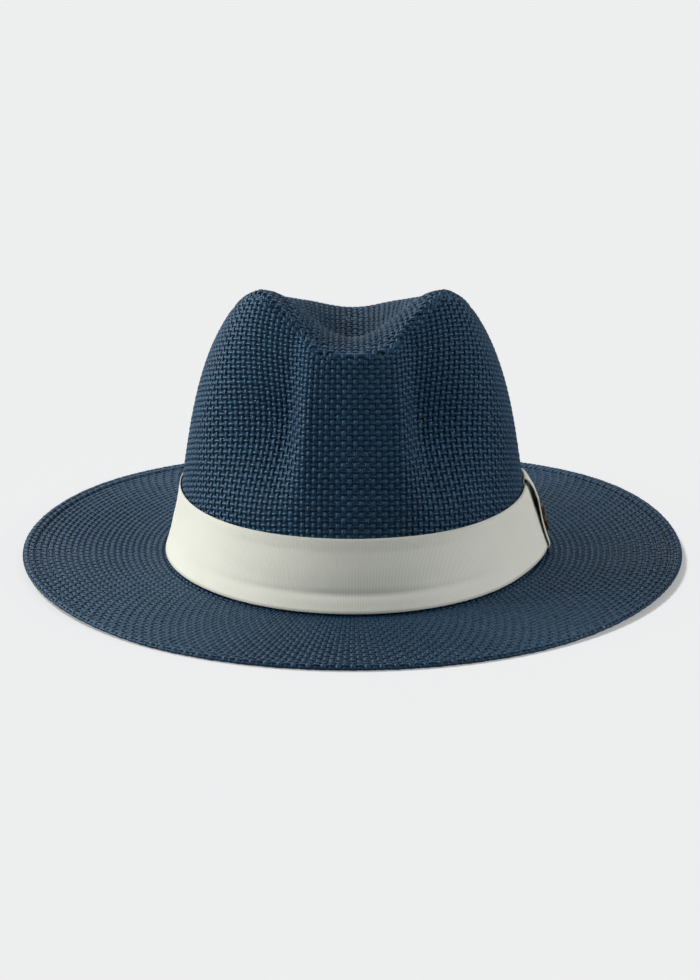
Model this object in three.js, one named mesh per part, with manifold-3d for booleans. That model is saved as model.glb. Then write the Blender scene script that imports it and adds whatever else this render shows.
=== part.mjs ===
// A woven paper-straw fedora with a grosgrain band, keeper and badge.
// Millimetres, +Z up. The front of the hat looks along -Y and the wearer's left is +X.
// The origin is under the middle of the brim, on the plane that the brim rests on.
import * as THREE from 'three';
import { mergeVertices } from 'three/addons/utils/BufferGeometryUtils.js';
import Module from 'manifold-3d';

const wasm = await Module();
wasm.setup();

// ---- driving dimensions ----
const HEAD_WIDTH = 159; // opening inside the sweatband, side to side
const HEAD_LENGTH = 196; // opening inside the sweatband, front to back
const BRIM_WIDTH = 66.5; // from the crown's foot to the edge, all round
const CROWN_HEIGHT = 131; // ridges beside the dent, at their highest
const TIP_WIDTH = 108; // top panel, side to side in plan
const TIP_LENGTH = 149; // top panel, front to back in plan
const TIP_SETBACK = -6.5; // middle of the top panel; minus is towards the front
const BAND_HEIGHT = 30;

const CLEARANCE = 0.3; // between pieces that touch
const CROWN_CLOTH = 1.2;
const BRIM_CLOTH = 0.7;
const SWEATBAND_HEIGHT = 34;
const SWEATBAND_CLOTH = 0.9;
const RIBBON_CLOTH = 0.6;
const TAPE_CLOTH = 0.4;
const TAPE_WIDTH = 10;
const WIRE_DIAMETER = 0.8;
const WIRE_INSET = 2.2; // from the brim's edge to the middle of the wire
const JOINER_LENGTH = 14;
const JOINER_WALL = 0.2;

// ---- crown shaping ----
const WALL_LEAN = 11; // degrees from upright, at the foot
const SHOULDER_LEAN = 37; // degrees from upright, at the seam beside the dent
const FRONT_LEAN = 16; // the same at the middle of the front
const BACK_LEAN = 40; // the same at the back
const RIDGE_HALF_SPACING = 34.4; // from the middle line to a ridge
const RIDGE_PEAK_Y = -46; // where the ridges are highest
const RIDGE_SLOPE = 0.221; // how fast the ridges fall towards the back
const FRONT_FALL = 0.0174; // how fast the ridges fall ahead of their peaks, per mm
const FRONT_LEVEL = 0.85; // how much of that fall is missing between them
const SHOULDER_FALL = 0.0238; // how fast it falls outside the ridges, per mm
const RIM_DIP = 18; // how far the front rim dips between the ridges
const DENT_DEPTH = 7; // how much deeper the dent is behind the rim
const DENT_MIDDLE_Y = -22;
const DENT_HALF_LENGTH = 46;
const PINCH_DEPTH = 10;
const PINCH_AT_SEAM = 0.5; // share of the depth that is left at the tip seam
const PINCH_ANGLE = 31; // degrees either side of the front
const PINCH_INNER = 14; // degrees from the hollow to the nose
const PINCH_OUTER = 34; // degrees from the hollow to the side
const PINCH_HEIGHT = 0.6 * CROWN_HEIGHT; // where it is deepest
const PINCH_DROP = 0.33 * CROWN_HEIGHT; // from there down to its lower end

// ---- brim shaping ----
const FOOT_RISE = 0.6; // brim at the crown above the plane it rests on
const SIDE_RISE = 2.2; // sides of the brim above the plane it rests on
const FLAT_FROM = 0.5; // share of the brim's width past which front and back lie flat

// ---- keeper and badge ----
const KEEPER_WIDTH = 18;
const KEEPER_START_Y = -9; // front edge of the keeper
const KEEPER_BULGE = 3.5;
const LOOP_SQUARENESS = 0.35; // power that turns the keeper's round loop into a flat one
const BADGE_DIAMETER = 12;
const BADGE_THICKNESS = 1.6;
const POST_DIAMETER = 2;
const BACKPLATE_DIAMETER = 9;
const BACKPLATE_THICKNESS = 0.5;
const BACKPLATE_GAP = 0.9; // to the keeper, which curves away from it

// ---- sizes that follow ----
const TAPE_ROOM = TAPE_CLOTH + 2 * CLEARANCE; // space behind the sweatband
const LINING_STACK = CROWN_CLOTH + TAPE_ROOM + SWEATBAND_CLOTH;
const FOOT_X = HEAD_WIDTH / 2 + LINING_STACK; // crown wall's outer face at its foot
const FOOT_Y = HEAD_LENGTH / 2 + LINING_STACK;
const WIRE_ROOM = WIRE_DIAMETER + 2 * CLEARANCE;
const JOINER_ROOM = WIRE_ROOM + 2 * JOINER_WALL + 2 * CLEARANCE;
const WIRE_SEAT = JOINER_ROOM / 2; // half the width of the channel for the wire
const BRIM_TOP = FOOT_RISE + 2 * BRIM_CLOTH + CLEARANCE;
const FOOT_Z = FOOT_RISE;
const BRIM_BACK_RADIUS = FOOT_Y + CLEARANCE + BRIM_WIDTH - WIRE_INSET;
const KEEPER_FOLD = RIBBON_CLOTH + 2 * CLEARANCE;
const BAND_Z = BRIM_TOP + CLEARANCE + KEEPER_FOLD; // lower edge of the band

const STEPS_ROUND = 80; // facets round the hat
const FULL_TURN = 2 * Math.PI;
const FRONT = -Math.PI / 2;
const BACK = Math.PI / 2;
const radians = THREE.MathUtils.degToRad;
const mix = THREE.MathUtils.lerp;
const vec = (x, y, z) => new THREE.Vector3(x, y, z);

const evenly = (steps) => Array.from({ length: steps + 1 }, (_, i) => i / steps);

function ease(u) {
  const c = THREE.MathUtils.clamp(u, 0, 1);
  return c * c * (3 - 2 * c);
}

function bump(u) {
  return Math.abs(u) < 1 ? Math.cos((u * Math.PI) / 2) ** 2 : 0;
}

// Degrees between an angle round the hat and the front, -180 to 180.
function fromFront(t) {
  const turn = THREE.MathUtils.radToDeg(t - FRONT);
  return ((((turn + 180) % 360) + 360) % 360) - 180;
}

// ---- surfaces ----

// Height of the crown's top over a point of the plan: two ridges that fall
// towards the back, the dent between them and round shoulders outside them.
function topHeight(x, y) {
  const behind = Math.max(y - RIDGE_PEAK_Y, 0);
  const ahead = Math.min(y - RIDGE_PEAK_Y, 0);
  const back = ease((y + 10) / 75);
  const ridgeX = RIDGE_HALF_SPACING * (1 - 0.75 * back);
  const outside = Math.max(Math.abs(x) - ridgeX, 0);
  const between = bump(x / (ridgeX + 6));
  const frontFall = FRONT_FALL * (1 - FRONT_LEVEL * between) * ahead ** 2;
  const ridge = CROWN_HEIGHT - RIDGE_SLOPE * behind - 0.0006 * (behind + ahead) ** 2 - frontFall;
  const shoulder = SHOULDER_FALL * (1 - 0.62 * back) * outside ** 2;
  const rimDip = RIM_DIP * (1 - ease((y + 5) / 60)) * between;
  const dent = DENT_DEPTH * bump((y - DENT_MIDDLE_Y) / DENT_HALF_LENGTH) * bump(x / (ridgeX - 2));
  const farEnd = 0.01 * Math.max(y - 35, 0) ** 2;
  return ridge - shoulder - rimDip - dent - farEnd;
}

// How far the pinches pull the tip seam in.
function seamPull(t) {
  return PINCH_DEPTH * PINCH_AT_SEAM * pinchAcross(t);
}

function seam(t) {
  const out = outward(t).multiplyScalar(-seamPull(t));
  const x = (TIP_WIDTH / 2) * Math.cos(t) + out.x;
  const y = (TIP_LENGTH / 2) * Math.sin(t) + TIP_SETBACK + out.y;
  return vec(x, y, topHeight(x, y));
}

function footPoint(t) {
  return vec(FOOT_X * Math.cos(t), FOOT_Y * Math.sin(t), FOOT_Z);
}

function outward(t) {
  return vec(Math.cos(t) / FOOT_X, Math.sin(t) / FOOT_Y, 0).normalize();
}

// Share of a finger pinch's depth at an angle round the hat.
function pinchAcross(t) {
  const side = Math.abs(fromFront(t)) - PINCH_ANGLE;
  return side < 0 ? bump(side / PINCH_INNER) : bump(side / PINCH_OUTER);
}

// How deep the two finger pinches press the wall in, up to the seam at seamZ.
function pinch(t, z, seamZ) {
  const rise = z - PINCH_HEIGHT;
  const upper = mix(1, PINCH_AT_SEAM, ease(rise / (seamZ - PINCH_HEIGHT)));
  return PINCH_DEPTH * pinchAcross(t) * (rise > 0 ? upper : bump(rise / PINCH_DROP));
}

// Outer face of the crown's wall: v is 0 at the foot and 1 at the tip seam.
function wall(t, v) {
  const foot = footPoint(t);
  const out = outward(t);
  const top = seam(t).addScaledVector(out, seamPull(t));
  const height = top.z - foot.z;
  const front = bump(fromFront(t) / 45);
  const back = ease(Math.sin(t));
  const topLean = SHOULDER_LEAN + (FRONT_LEAN - SHOULDER_LEAN) * front + (BACK_LEAN - SHOULDER_LEAN) * back;
  const leaning = (degrees) => {
    const a = radians(degrees);
    return out.clone().multiplyScalar(-Math.sin(a)).add(vec(0, 0, Math.cos(a)));
  };
  const low = foot.clone().addScaledVector(leaning(WALL_LEAN), 0.36 * height);
  const high = top.clone().addScaledVector(leaning(topLean), -0.3 * height);
  const point = new THREE.CubicBezierCurve3(foot, low, high, top).getPoint(v);
  return point.addScaledVector(out, -pinch(t, point.z, top.z));
}

// Share of the wall's run at which it reaches a height.
function wallShare(t, z) {
  let low = 0;
  let high = 1;
  for (let step = 0; step < 24; step += 1) {
    const middle = (low + high) / 2;
    if (wall(t, middle).z < z) low = middle;
    else high = middle;
  }
  return (low + high) / 2;
}

function tipFace(t, r) {
  const rim = seam(t);
  const x = rim.x * r;
  const y = (rim.y - TIP_SETBACK) * r + TIP_SETBACK;
  return vec(x, y, topHeight(x, y));
}

// Height of the brim's underside: flat where it rests, raised at the sides.
function brimRise(t, w) {
  const nearCrown = 1 - ease(w / FLAT_FROM);
  const side = ease((Math.abs(Math.cos(t)) - 0.45) / 0.55);
  return FOOT_RISE * nearCrown + SIDE_RISE * side * ease(w);
}

function brimFace(t, w, lift) {
  const point = footPoint(t).addScaledVector(outward(t), CLEARANCE + w * BRIM_WIDTH);
  point.z = brimRise(t, w) + lift;
  return point;
}

// Room between the two plies, which opens round the edge wire, and more round
// the joiner at the back.
function plyGap(t, w) {
  const fromWire = Math.abs(w * BRIM_WIDTH - (BRIM_WIDTH - WIRE_INSET));
  const open = 1 - THREE.MathUtils.clamp((fromWire - WIRE_SEAT) / (WIRE_INSET - WIRE_SEAT), 0, 1);
  return mix(CLEARANCE, wireRoom(t), open);
}

function wireRoom(t) {
  const fromBack = Math.abs(180 - Math.abs(fromFront(t)));
  const joinerSpan = THREE.MathUtils.radToDeg(JOINER_LENGTH / BRIM_BACK_RADIUS);
  return mix(WIRE_ROOM, JOINER_ROOM, 1 - ease(fromBack / joinerSpan - 1));
}

// ---- builders ----

// Unit normal of a face by small differences, turned to the given side.
function normalOf(face, u, v, turn) {
  const e = 1e-3;
  const vb = v > 0.5 ? v - e : v;
  const alongU = face(u + e, vb).sub(face(u - e, vb));
  const alongV = face(u, vb + e).sub(face(u, vb));
  return alongU.cross(alongV).normalize().multiplyScalar(turn);
}

// The face moved along its normal; rimTrim takes the moved face's far edge back.
function offset(face, distance, turn, rimTrim = 0) {
  return (u, v) => {
    const s = v * (1 - rimTrim);
    return face(u, s).addScaledVector(normalOf(face, u, s, turn), distance);
  };
}

function geometryOf(points, triangles) {
  const geometry = new THREE.BufferGeometry();
  geometry.setAttribute('position', new THREE.Float32BufferAttribute(points.flatMap((p) => p.toArray()), 3));
  geometry.setIndex(triangles.flat());
  return geometry;
}

// A closed band with thickness: both faces are functions of the angle u, right
// round, and of v, which takes each value in rows. The outer face has its
// front side outwards.
function bandSolid(outer, inner, stepsU, rows) {
  const points = [];
  const stepsV = rows.length - 1;
  for (const face of [outer, inner]) {
    for (const v of rows) {
      for (let i = 0; i < stepsU; i += 1) points.push(face((i / stepsU) * FULL_TURN, v));
    }
  }
  const at = (side, i, j) => side * stepsU * (stepsV + 1) + j * stepsU + (i % stepsU);
  const triangles = [];
  const quad = (a, b, c, d) => triangles.push([a, b, c], [a, c, d]);
  for (let i = 0; i < stepsU; i += 1) {
    for (let j = 0; j < stepsV; j += 1) {
      quad(at(0, i, j), at(0, i + 1, j), at(0, i + 1, j + 1), at(0, i, j + 1));
      quad(at(1, i, j), at(1, i, j + 1), at(1, i + 1, j + 1), at(1, i + 1, j));
    }
    quad(at(0, i, 0), at(1, i, 0), at(1, i + 1, 0), at(0, i + 1, 0));
    quad(at(0, i, stepsV), at(0, i + 1, stepsV), at(1, i + 1, stepsV), at(1, i, stepsV));
  }
  return geometryOf(points, triangles);
}

// A closed dish with thickness: both faces are functions of the angle and of
// the share r from the middle to the rim.
function dishSolid(outer, inner, stepsU, stepsR) {
  const points = [outer(0, 0), inner(0, 0)];
  for (const face of [outer, inner]) {
    for (let j = 1; j <= stepsR; j += 1) {
      for (let i = 0; i < stepsU; i += 1) {
        points.push(face((i / stepsU) * FULL_TURN, j / stepsR));
      }
    }
  }
  const at = (side, i, j) => 2 + side * stepsU * stepsR + (j - 1) * stepsU + (i % stepsU);
  const triangles = [];
  const quad = (a, b, c, d) => triangles.push([a, b, c], [a, c, d]);
  for (let i = 0; i < stepsU; i += 1) {
    triangles.push([0, at(0, i, 1), at(0, i + 1, 1)]);
    triangles.push([1, at(1, i + 1, 1), at(1, i, 1)]);
    for (let j = 1; j < stepsR; j += 1) {
      quad(at(0, i, j), at(0, i, j + 1), at(0, i + 1, j + 1), at(0, i + 1, j));
      quad(at(1, i, j), at(1, i + 1, j), at(1, i + 1, j + 1), at(1, i, j + 1));
    }
    quad(at(0, i, stepsR), at(1, i, stepsR), at(1, i + 1, stepsR), at(0, i + 1, stepsR));
  }
  return geometryOf(points, triangles);
}

// A small patch with thickness, both faces functions of u and v from 0 to 1.
function patchSolid(outer, inner, stepsU, stepsV) {
  const points = [];
  for (const face of [outer, inner]) {
    for (let j = 0; j <= stepsV; j += 1) {
      for (let i = 0; i <= stepsU; i += 1) points.push(face(i / stepsU, j / stepsV));
    }
  }
  const row = stepsU + 1;
  const at = (side, i, j) => side * row * (stepsV + 1) + j * row + i;
  const triangles = [];
  const quad = (a, b, c, d) => triangles.push([a, b, c], [a, c, d]);
  for (let i = 0; i < stepsU; i += 1) {
    for (let j = 0; j < stepsV; j += 1) {
      quad(at(0, i, j), at(0, i + 1, j), at(0, i + 1, j + 1), at(0, i, j + 1));
      quad(at(1, i, j), at(1, i, j + 1), at(1, i + 1, j + 1), at(1, i + 1, j));
    }
    quad(at(0, i, 0), at(1, i, 0), at(1, i + 1, 0), at(0, i + 1, 0));
    quad(at(0, i, stepsV), at(0, i + 1, stepsV), at(1, i + 1, stepsV), at(1, i, stepsV));
  }
  for (let j = 0; j < stepsV; j += 1) {
    quad(at(0, 0, j), at(0, 0, j + 1), at(1, 0, j + 1), at(1, 0, j));
    quad(at(0, stepsU, j), at(1, stepsU, j), at(1, stepsU, j + 1), at(0, stepsU, j + 1));
  }
  return geometryOf(points, triangles);
}

function toSolid(geometry) {
  const bare = geometry.clone();
  bare.deleteAttribute('normal');
  bare.deleteAttribute('uv');
  const merged = mergeVertices(bare);
  return new wasm.Manifold(new wasm.Mesh({
    numProp: 3,
    vertProperties: new Float32Array(merged.attributes.position.array),
    triVerts: new Uint32Array(merged.index.array),
  }));
}

function fromSolid(solid) {
  const mesh = solid.getMesh();
  const geometry = new THREE.BufferGeometry();
  geometry.setAttribute('position', new THREE.Float32BufferAttribute(mesh.vertProperties, 3));
  geometry.setIndex(Array.from(mesh.triVerts));
  return geometry;
}

// ---- pieces ----

const hat = new THREE.Group();

function add(name, geometry, color, roughness, metalness = 0) {
  geometry.computeVertexNormals();
  const material = new THREE.MeshStandardMaterial({ color, roughness, metalness });
  const mesh = new THREE.Mesh(geometry, material);
  mesh.name = name;
  hat.add(mesh);
  return mesh;
}

const STRAW = 0x24405e;
const IVORY = 0xe9e6dc;
const BRONZE = 0x3b2a1f;
const SEAM_TRIM = 1.6; // how far the inner faces stop short of the tip seam
const TOP_TRIM = 0.3; // how far the outer faces stop short of it
const WALL_RUN = CROWN_HEIGHT - FOOT_Z;
const TIP_RADIUS = TIP_WIDTH / 2;

function crownWall() {
  const outer = (t, v) => wall(t, v * (1 - TOP_TRIM / WALL_RUN));
  const inner = offset(wall, -CROWN_CLOTH, 1, SEAM_TRIM / WALL_RUN);
  return bandSolid(outer, inner, STEPS_ROUND, evenly(10));
}

function crownTip() {
  const outer = (t, r) => tipFace(t, r * (1 - TOP_TRIM / TIP_RADIUS));
  const rim = 1 - (SEAM_TRIM + TOP_TRIM) / TIP_RADIUS;
  const inner = (t, r) => tipFace(t, r * rim).add(tipNormal(t, r * rim).multiplyScalar(-CROWN_CLOTH));
  return dishSolid(outer, inner, 60, 9);
}

// Upward normal of the crown's top over a point of the tip panel.
function tipNormal(t, r) {
  const p = tipFace(t, r);
  const e = 1e-2;
  const slopeX = (topHeight(p.x + e, p.y) - topHeight(p.x - e, p.y)) / (2 * e);
  const slopeY = (topHeight(p.x, p.y + e) - topHeight(p.x, p.y - e)) / (2 * e);
  return vec(-slopeX, -slopeY, 1).normalize();
}

// Tape over the raw edges of the tip seam, laid under the tip's margin.
function tipSeamTape() {
  const deep = (extra) => (t, v) => {
    const r = 1 - (SEAM_TRIM + TOP_TRIM + CROWN_CLOTH + (1 - v) * TAPE_WIDTH) / TIP_RADIUS;
    return tipFace(t, r).addScaledVector(tipNormal(t, r), -(CROWN_CLOTH + CLEARANCE + extra));
  };
  return bandSolid(deep(TAPE_CLOTH), deep(0), 60, evenly(1));
}

function brimPly(bottom) {
  const low = (t, w) => brimFace(t, w, bottom(t, w));
  const high = (t, w) => brimFace(t, w, bottom(t, w) + BRIM_CLOTH);
  const channel = [2 * WIRE_INSET, WIRE_INSET + WIRE_SEAT, WIRE_INSET - WIRE_SEAT, 0];
  const rows = [0, 0.5, 1, 1.5].map((share) => share * FLAT_FROM);
  return bandSolid(low, high, STEPS_ROUND, [...rows, ...channel.map((mm) => 1 - mm / BRIM_WIDTH)]);
}

const wireMiddle = (t) => {
  const w = 1 - WIRE_INSET / BRIM_WIDTH;
  return brimFace(t, w, BRIM_CLOTH + wireRoom(t) / 2);
};
const WIRE_GAP_ANGLE = (2 * CLEARANCE) / BRIM_BACK_RADIUS;

function ringOf(sides, radius) {
  const shape = new THREE.Shape();
  shape.absarc(0, 0, radius, 0, FULL_TURN);
  const outline = shape.getSpacedPoints(sides).slice(0, sides);
  return new THREE.Shape(outline);
}

function edgeWire() {
  const steps = STEPS_ROUND;
  const points = [];
  for (let i = 0; i <= steps; i += 1) {
    points.push(wireMiddle(BACK + WIRE_GAP_ANGLE + (i / steps) * (FULL_TURN - 2 * WIRE_GAP_ANGLE)));
  }
  return new THREE.ExtrudeGeometry(ringOf(6, WIRE_DIAMETER / 2), {
    steps,
    bevelEnabled: false,
    extrudePath: new THREE.CatmullRomCurve3(points),
  });
}

// The little sleeve that both ends of the wire are pushed into, at the back.
function wireJoiner() {
  const bore = WIRE_DIAMETER / 2 + CLEARANCE;
  const profile = [
    new THREE.Vector2(bore, -JOINER_LENGTH / 2),
    new THREE.Vector2(bore + JOINER_WALL, -JOINER_LENGTH / 2),
    new THREE.Vector2(bore + JOINER_WALL, JOINER_LENGTH / 2),
    new THREE.Vector2(bore, JOINER_LENGTH / 2),
    new THREE.Vector2(bore, -JOINER_LENGTH / 2),
  ];
  const geometry = new THREE.LatheGeometry(profile, 12);
  geometry.rotateZ(Math.PI / 2);
  const middle = wireMiddle(BACK);
  geometry.translate(middle.x, middle.y, middle.z);
  return geometry;
}

// A band that follows the inside or outside of the wall between two heights.
function wallBand(zFrom, zTo, near, far) {
  const layer = (distance) => (t, v) => {
    const share = wallShare(t, mix(zFrom, zTo, v));
    return wall(t, share).addScaledVector(normalOf(wall, t, share, 1), distance(t));
  };
  return bandSolid(layer(far), layer(near), STEPS_ROUND, evenly(2));
}

function sweatband() {
  const far = -(CROWN_CLOTH + TAPE_ROOM);
  return wallBand(FOOT_Z + CLEARANCE, FOOT_Z + SWEATBAND_HEIGHT, () => far - SWEATBAND_CLOTH, () => far);
}

// Patch on the inside of the wall or the sweatband at the back of the hat.
function backPatch(width, zFrom, zTo, near, far, rows) {
  const layer = (distance) => (u, v) => {
    const t = BACK + ((u - 0.5) * width) / FOOT_X;
    const share = wallShare(t, mix(zFrom, zTo, v));
    return wall(t, share).addScaledVector(normalOf(wall, t, share, 1), distance);
  };
  return patchSolid(layer(far), layer(near), 3, rows);
}

function backSeamTape() {
  const near = -(CROWN_CLOTH + CLEARANCE);
  const top = seam(BACK).z - TAPE_WIDTH;
  return backPatch(TAPE_WIDTH, FOOT_Z + CLEARANCE, top, near - TAPE_CLOTH, near, 10);
}

function sizeLabel() {
  const near = -(LINING_STACK + 2 * CLEARANCE);
  return backPatch(22, FOOT_Z + 8, FOOT_Z + 24, near - TAPE_CLOTH, near, 3);
}

// The keeper's run round the hat as angles, and how much it lifts the band.
const KEEPER_FROM = Math.asin(KEEPER_START_Y / FOOT_Y);
const KEEPER_TO = Math.asin((KEEPER_START_Y + KEEPER_WIDTH) / FOOT_Y);
const KEEPER_MIDDLE = (KEEPER_FROM + KEEPER_TO) / 2;
const KEEPER_HALF = (KEEPER_TO - KEEPER_FROM) / 2;

function bandLift(t) {
  const side = Math.abs(((t - KEEPER_MIDDLE + Math.PI) % FULL_TURN) - Math.PI);
  const tuck = RIBBON_CLOTH + CLEARANCE;
  return CLEARANCE + tuck * (1 - ease((side - KEEPER_HALF - 0.03) / 0.25));
}

function ribbonBand() {
  const near = (t) => bandLift(t);
  const far = (t) => bandLift(t) + RIBBON_CLOTH;
  return wallBand(BAND_Z, BAND_Z + BAND_HEIGHT, near, far);
}

// A strip of ribbon folded right round the band: behind it, under its lower
// edge, up in front with a bulge, and over its upper edge. The angle u goes
// once round the strip's loop and v goes along the band.
function keeperPoint(u, v) {
  const t = mix(KEEPER_FROM, KEEPER_TO, v);
  const half = BAND_HEIGHT / 2 + 2 * CLEARANCE + RIBBON_CLOTH / 2;
  const squared = (value) => Math.sign(value) * Math.abs(value) ** LOOP_SQUARENESS;
  const height = -half * squared(Math.sin(u));
  const back = CLEARANCE + RIBBON_CLOTH / 2;
  const bulge = KEEPER_BULGE * (1 - 0.5 * v) * (1 - (height / half) ** 2);
  const front = bandLift(t) + RIBBON_CLOTH * 1.5 + 2 * CLEARANCE + bulge;
  const depth = mix(back, front, (squared(Math.cos(u)) + 1) / 2);
  const share = wallShare(t, BAND_Z + BAND_HEIGHT / 2 + height);
  return wall(t, share).addScaledVector(normalOf(wall, t, share, 1), depth);
}

function ribbonKeeper() {
  const layer = (distance) => (u, v) => keeperPoint(u, v)
    .addScaledVector(normalOf(keeperPoint, u, v, 1), distance);
  const strip = toSolid(bandSolid(layer(RIBBON_CLOTH / 2), layer(-RIBBON_CLOTH / 2), 48, evenly(6)));
  const hole = new THREE.CylinderGeometry(POST_DIAMETER / 2 + CLEARANCE, POST_DIAMETER / 2 + CLEARANCE, 3, 16);
  return fromSolid(strip.subtract(toSolid(onBadgeAxis(hole, 0))));
}

// Moves a shape made round the Y axis onto the badge's axis, some way outwards
// from the middle of the keeper's front layer.
function onBadgeAxis(geometry, distance) {
  const middle = keeperPoint(0, 0.5);
  const axis = normalOf(wall, KEEPER_MIDDLE, wallShare(KEEPER_MIDDLE, middle.z), 1);
  geometry.applyQuaternion(new THREE.Quaternion().setFromUnitVectors(vec(0, 1, 0), axis));
  const place = middle.addScaledVector(axis, distance);
  geometry.translate(place.x, place.y, place.z);
  return geometry;
}

// Domed badge with the post that holds it, one turned profile.
function badgeCap() {
  const radius = BADGE_DIAMETER / 2;
  const post = POST_DIAMETER / 2;
  const seat = RIBBON_CLOTH / 2 + 2 * CLEARANCE;
  const tail = -(RIBBON_CLOTH / 2 + BACKPLATE_GAP + BACKPLATE_THICKNESS);
  const rim = BADGE_THICKNESS / 2;
  const points = [
    new THREE.Vector2(0, tail),
    new THREE.Vector2(post, tail),
    new THREE.Vector2(post, seat),
    new THREE.Vector2(radius, seat),
    new THREE.Vector2(radius, seat + rim),
    new THREE.Vector2(radius * 0.8, seat + rim * 1.6),
    new THREE.Vector2(radius * 0.4, seat + rim * 1.95),
    new THREE.Vector2(0, seat + BADGE_THICKNESS),
  ];
  return onBadgeAxis(new THREE.LatheGeometry(points, 24), 0);
}

function badgeBackplate() {
  const bore = POST_DIAMETER / 2 + CLEARANCE;
  const radius = BACKPLATE_DIAMETER / 2;
  const top = -(RIBBON_CLOTH / 2 + BACKPLATE_GAP);
  const bottom = top - BACKPLATE_THICKNESS;
  const points = [
    new THREE.Vector2(bore, bottom),
    new THREE.Vector2(radius, bottom),
    new THREE.Vector2(radius, top),
    new THREE.Vector2(bore, top),
    new THREE.Vector2(bore, bottom),
  ];
  return onBadgeAxis(new THREE.LatheGeometry(points, 24), 0);
}

add('crown_wall', crownWall(), STRAW, 0.75);
add('crown_tip', crownTip(), STRAW, 0.75);
add('tip_seam_tape', tipSeamTape(), 0x1b2838, 0.9);
add('back_seam_tape', backSeamTape(), 0x1b2838, 0.9);
add('brim_lower_ply', brimPly(() => 0), STRAW, 0.75);
add('brim_upper_ply', brimPly((t, w) => BRIM_CLOTH + plyGap(t, w)), STRAW, 0.75);
add('brim_edge_wire', edgeWire(), 0x202020, 0.5);
add('wire_joiner', wireJoiner(), 0x9a9488, 0.4, 0.8);
add('sweatband', sweatband(), 0x20293a, 0.9);
add('size_label', sizeLabel(), 0xe6e6e2, 0.8);
add('ribbon_band', ribbonBand(), IVORY, 0.7);
add('ribbon_keeper', ribbonKeeper(), IVORY, 0.7);
add('badge_cap', badgeCap(), BRONZE, 0.35, 0.9);
add('badge_backplate', badgeBackplate(), BRONZE, 0.35, 0.9);

export default hat;
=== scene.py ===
"""A woven paper-straw fedora with a grosgrain band, a keeper with a badge, and its lining."""

import math

import bmesh
import bpy
import numpy as np
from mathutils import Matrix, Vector


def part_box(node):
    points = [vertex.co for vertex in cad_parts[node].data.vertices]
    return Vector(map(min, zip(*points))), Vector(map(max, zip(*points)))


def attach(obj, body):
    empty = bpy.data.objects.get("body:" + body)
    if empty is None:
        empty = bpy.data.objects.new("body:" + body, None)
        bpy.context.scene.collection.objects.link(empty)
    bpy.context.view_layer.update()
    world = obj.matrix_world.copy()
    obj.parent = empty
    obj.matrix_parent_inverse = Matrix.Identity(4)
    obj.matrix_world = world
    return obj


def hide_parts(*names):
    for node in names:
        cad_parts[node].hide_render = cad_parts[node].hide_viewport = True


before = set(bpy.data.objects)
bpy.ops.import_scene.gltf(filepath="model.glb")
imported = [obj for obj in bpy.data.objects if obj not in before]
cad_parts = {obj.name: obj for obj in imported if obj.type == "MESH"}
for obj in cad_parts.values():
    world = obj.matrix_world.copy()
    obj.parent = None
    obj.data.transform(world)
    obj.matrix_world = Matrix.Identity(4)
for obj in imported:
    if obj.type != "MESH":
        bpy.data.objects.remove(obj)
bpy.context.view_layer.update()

bl_info = {
    "name": "Straw fedora",
    "version": (1, 0, 0),
    "blender": (4, 5, 0),
    "location": "3D View > Sidebar > Fedora",
    "description": "Builds a woven fedora round its frame",
    "category": "Add Mesh",
}

MM = 0.001
FLOOR_TONE = 0.8
FLOOR_GLOW = 0.33
FLOOR_LEVEL = 0.863
SUN_HEIGHT = 60
LENS = 104.95
CAMERA_REACH = 1.3
CAMERA_RISE = 15.84
CAMERA_AIM = 28.2 * MM
CAMERA_SHIFT = -1.1 * MM
BODY = "root"
STRAND_MAP = "Strand"
BAKE_MAP = "OFBake"
TONE = "tone"

# ---------------------------------------------------------------- places from the frame


def node_box(name):
    """Lowest and highest corner of a frame node as two arrays."""
    low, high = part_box(name)
    return np.array(low), np.array(high)


WALL_LOW, WALL_HIGH = node_box("crown_wall")
TIP_LOW, TIP_HIGH = node_box("crown_tip")
BRIM_LOW, BRIM_HIGH = node_box("brim_lower_ply")
BAND_LOW, BAND_HIGH = node_box("ribbon_band")
KEEPER_LOW, KEEPER_HIGH = node_box("ribbon_keeper")
SWEAT_LOW, SWEAT_HIGH = node_box("sweatband")

FOOT_X, FOOT_Y, FOOT_Z = WALL_HIGH[0], WALL_HIGH[1], WALL_LOW[2]
TIP_X = (TIP_HIGH[0] - TIP_LOW[0]) / 2
TIP_Y = (TIP_HIGH[1] - TIP_LOW[1]) / 2
TIP_SETBACK = (TIP_HIGH[1] + TIP_LOW[1]) / 2
CROWN_TOP = TIP_HIGH[2]
BRIM_WIDTH = BRIM_HIGH[0] - FOOT_X
BAND_TOP = BAND_HIGH[2] - 0.3 * MM

# ---------------------------------------------------------------- sizes and colours


def distance(name, description, default):
    """A length property shown in the scene's units."""
    return bpy.props.FloatProperty(
        name=name, description=description, default=default, subtype="DISTANCE", unit="LENGTH", precision=5
    )


def colour(name, description, default):
    """A linear colour property."""
    return bpy.props.FloatVectorProperty(
        name=name, description=description, default=default, subtype="COLOR", size=3, min=0, max=1
    )


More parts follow.
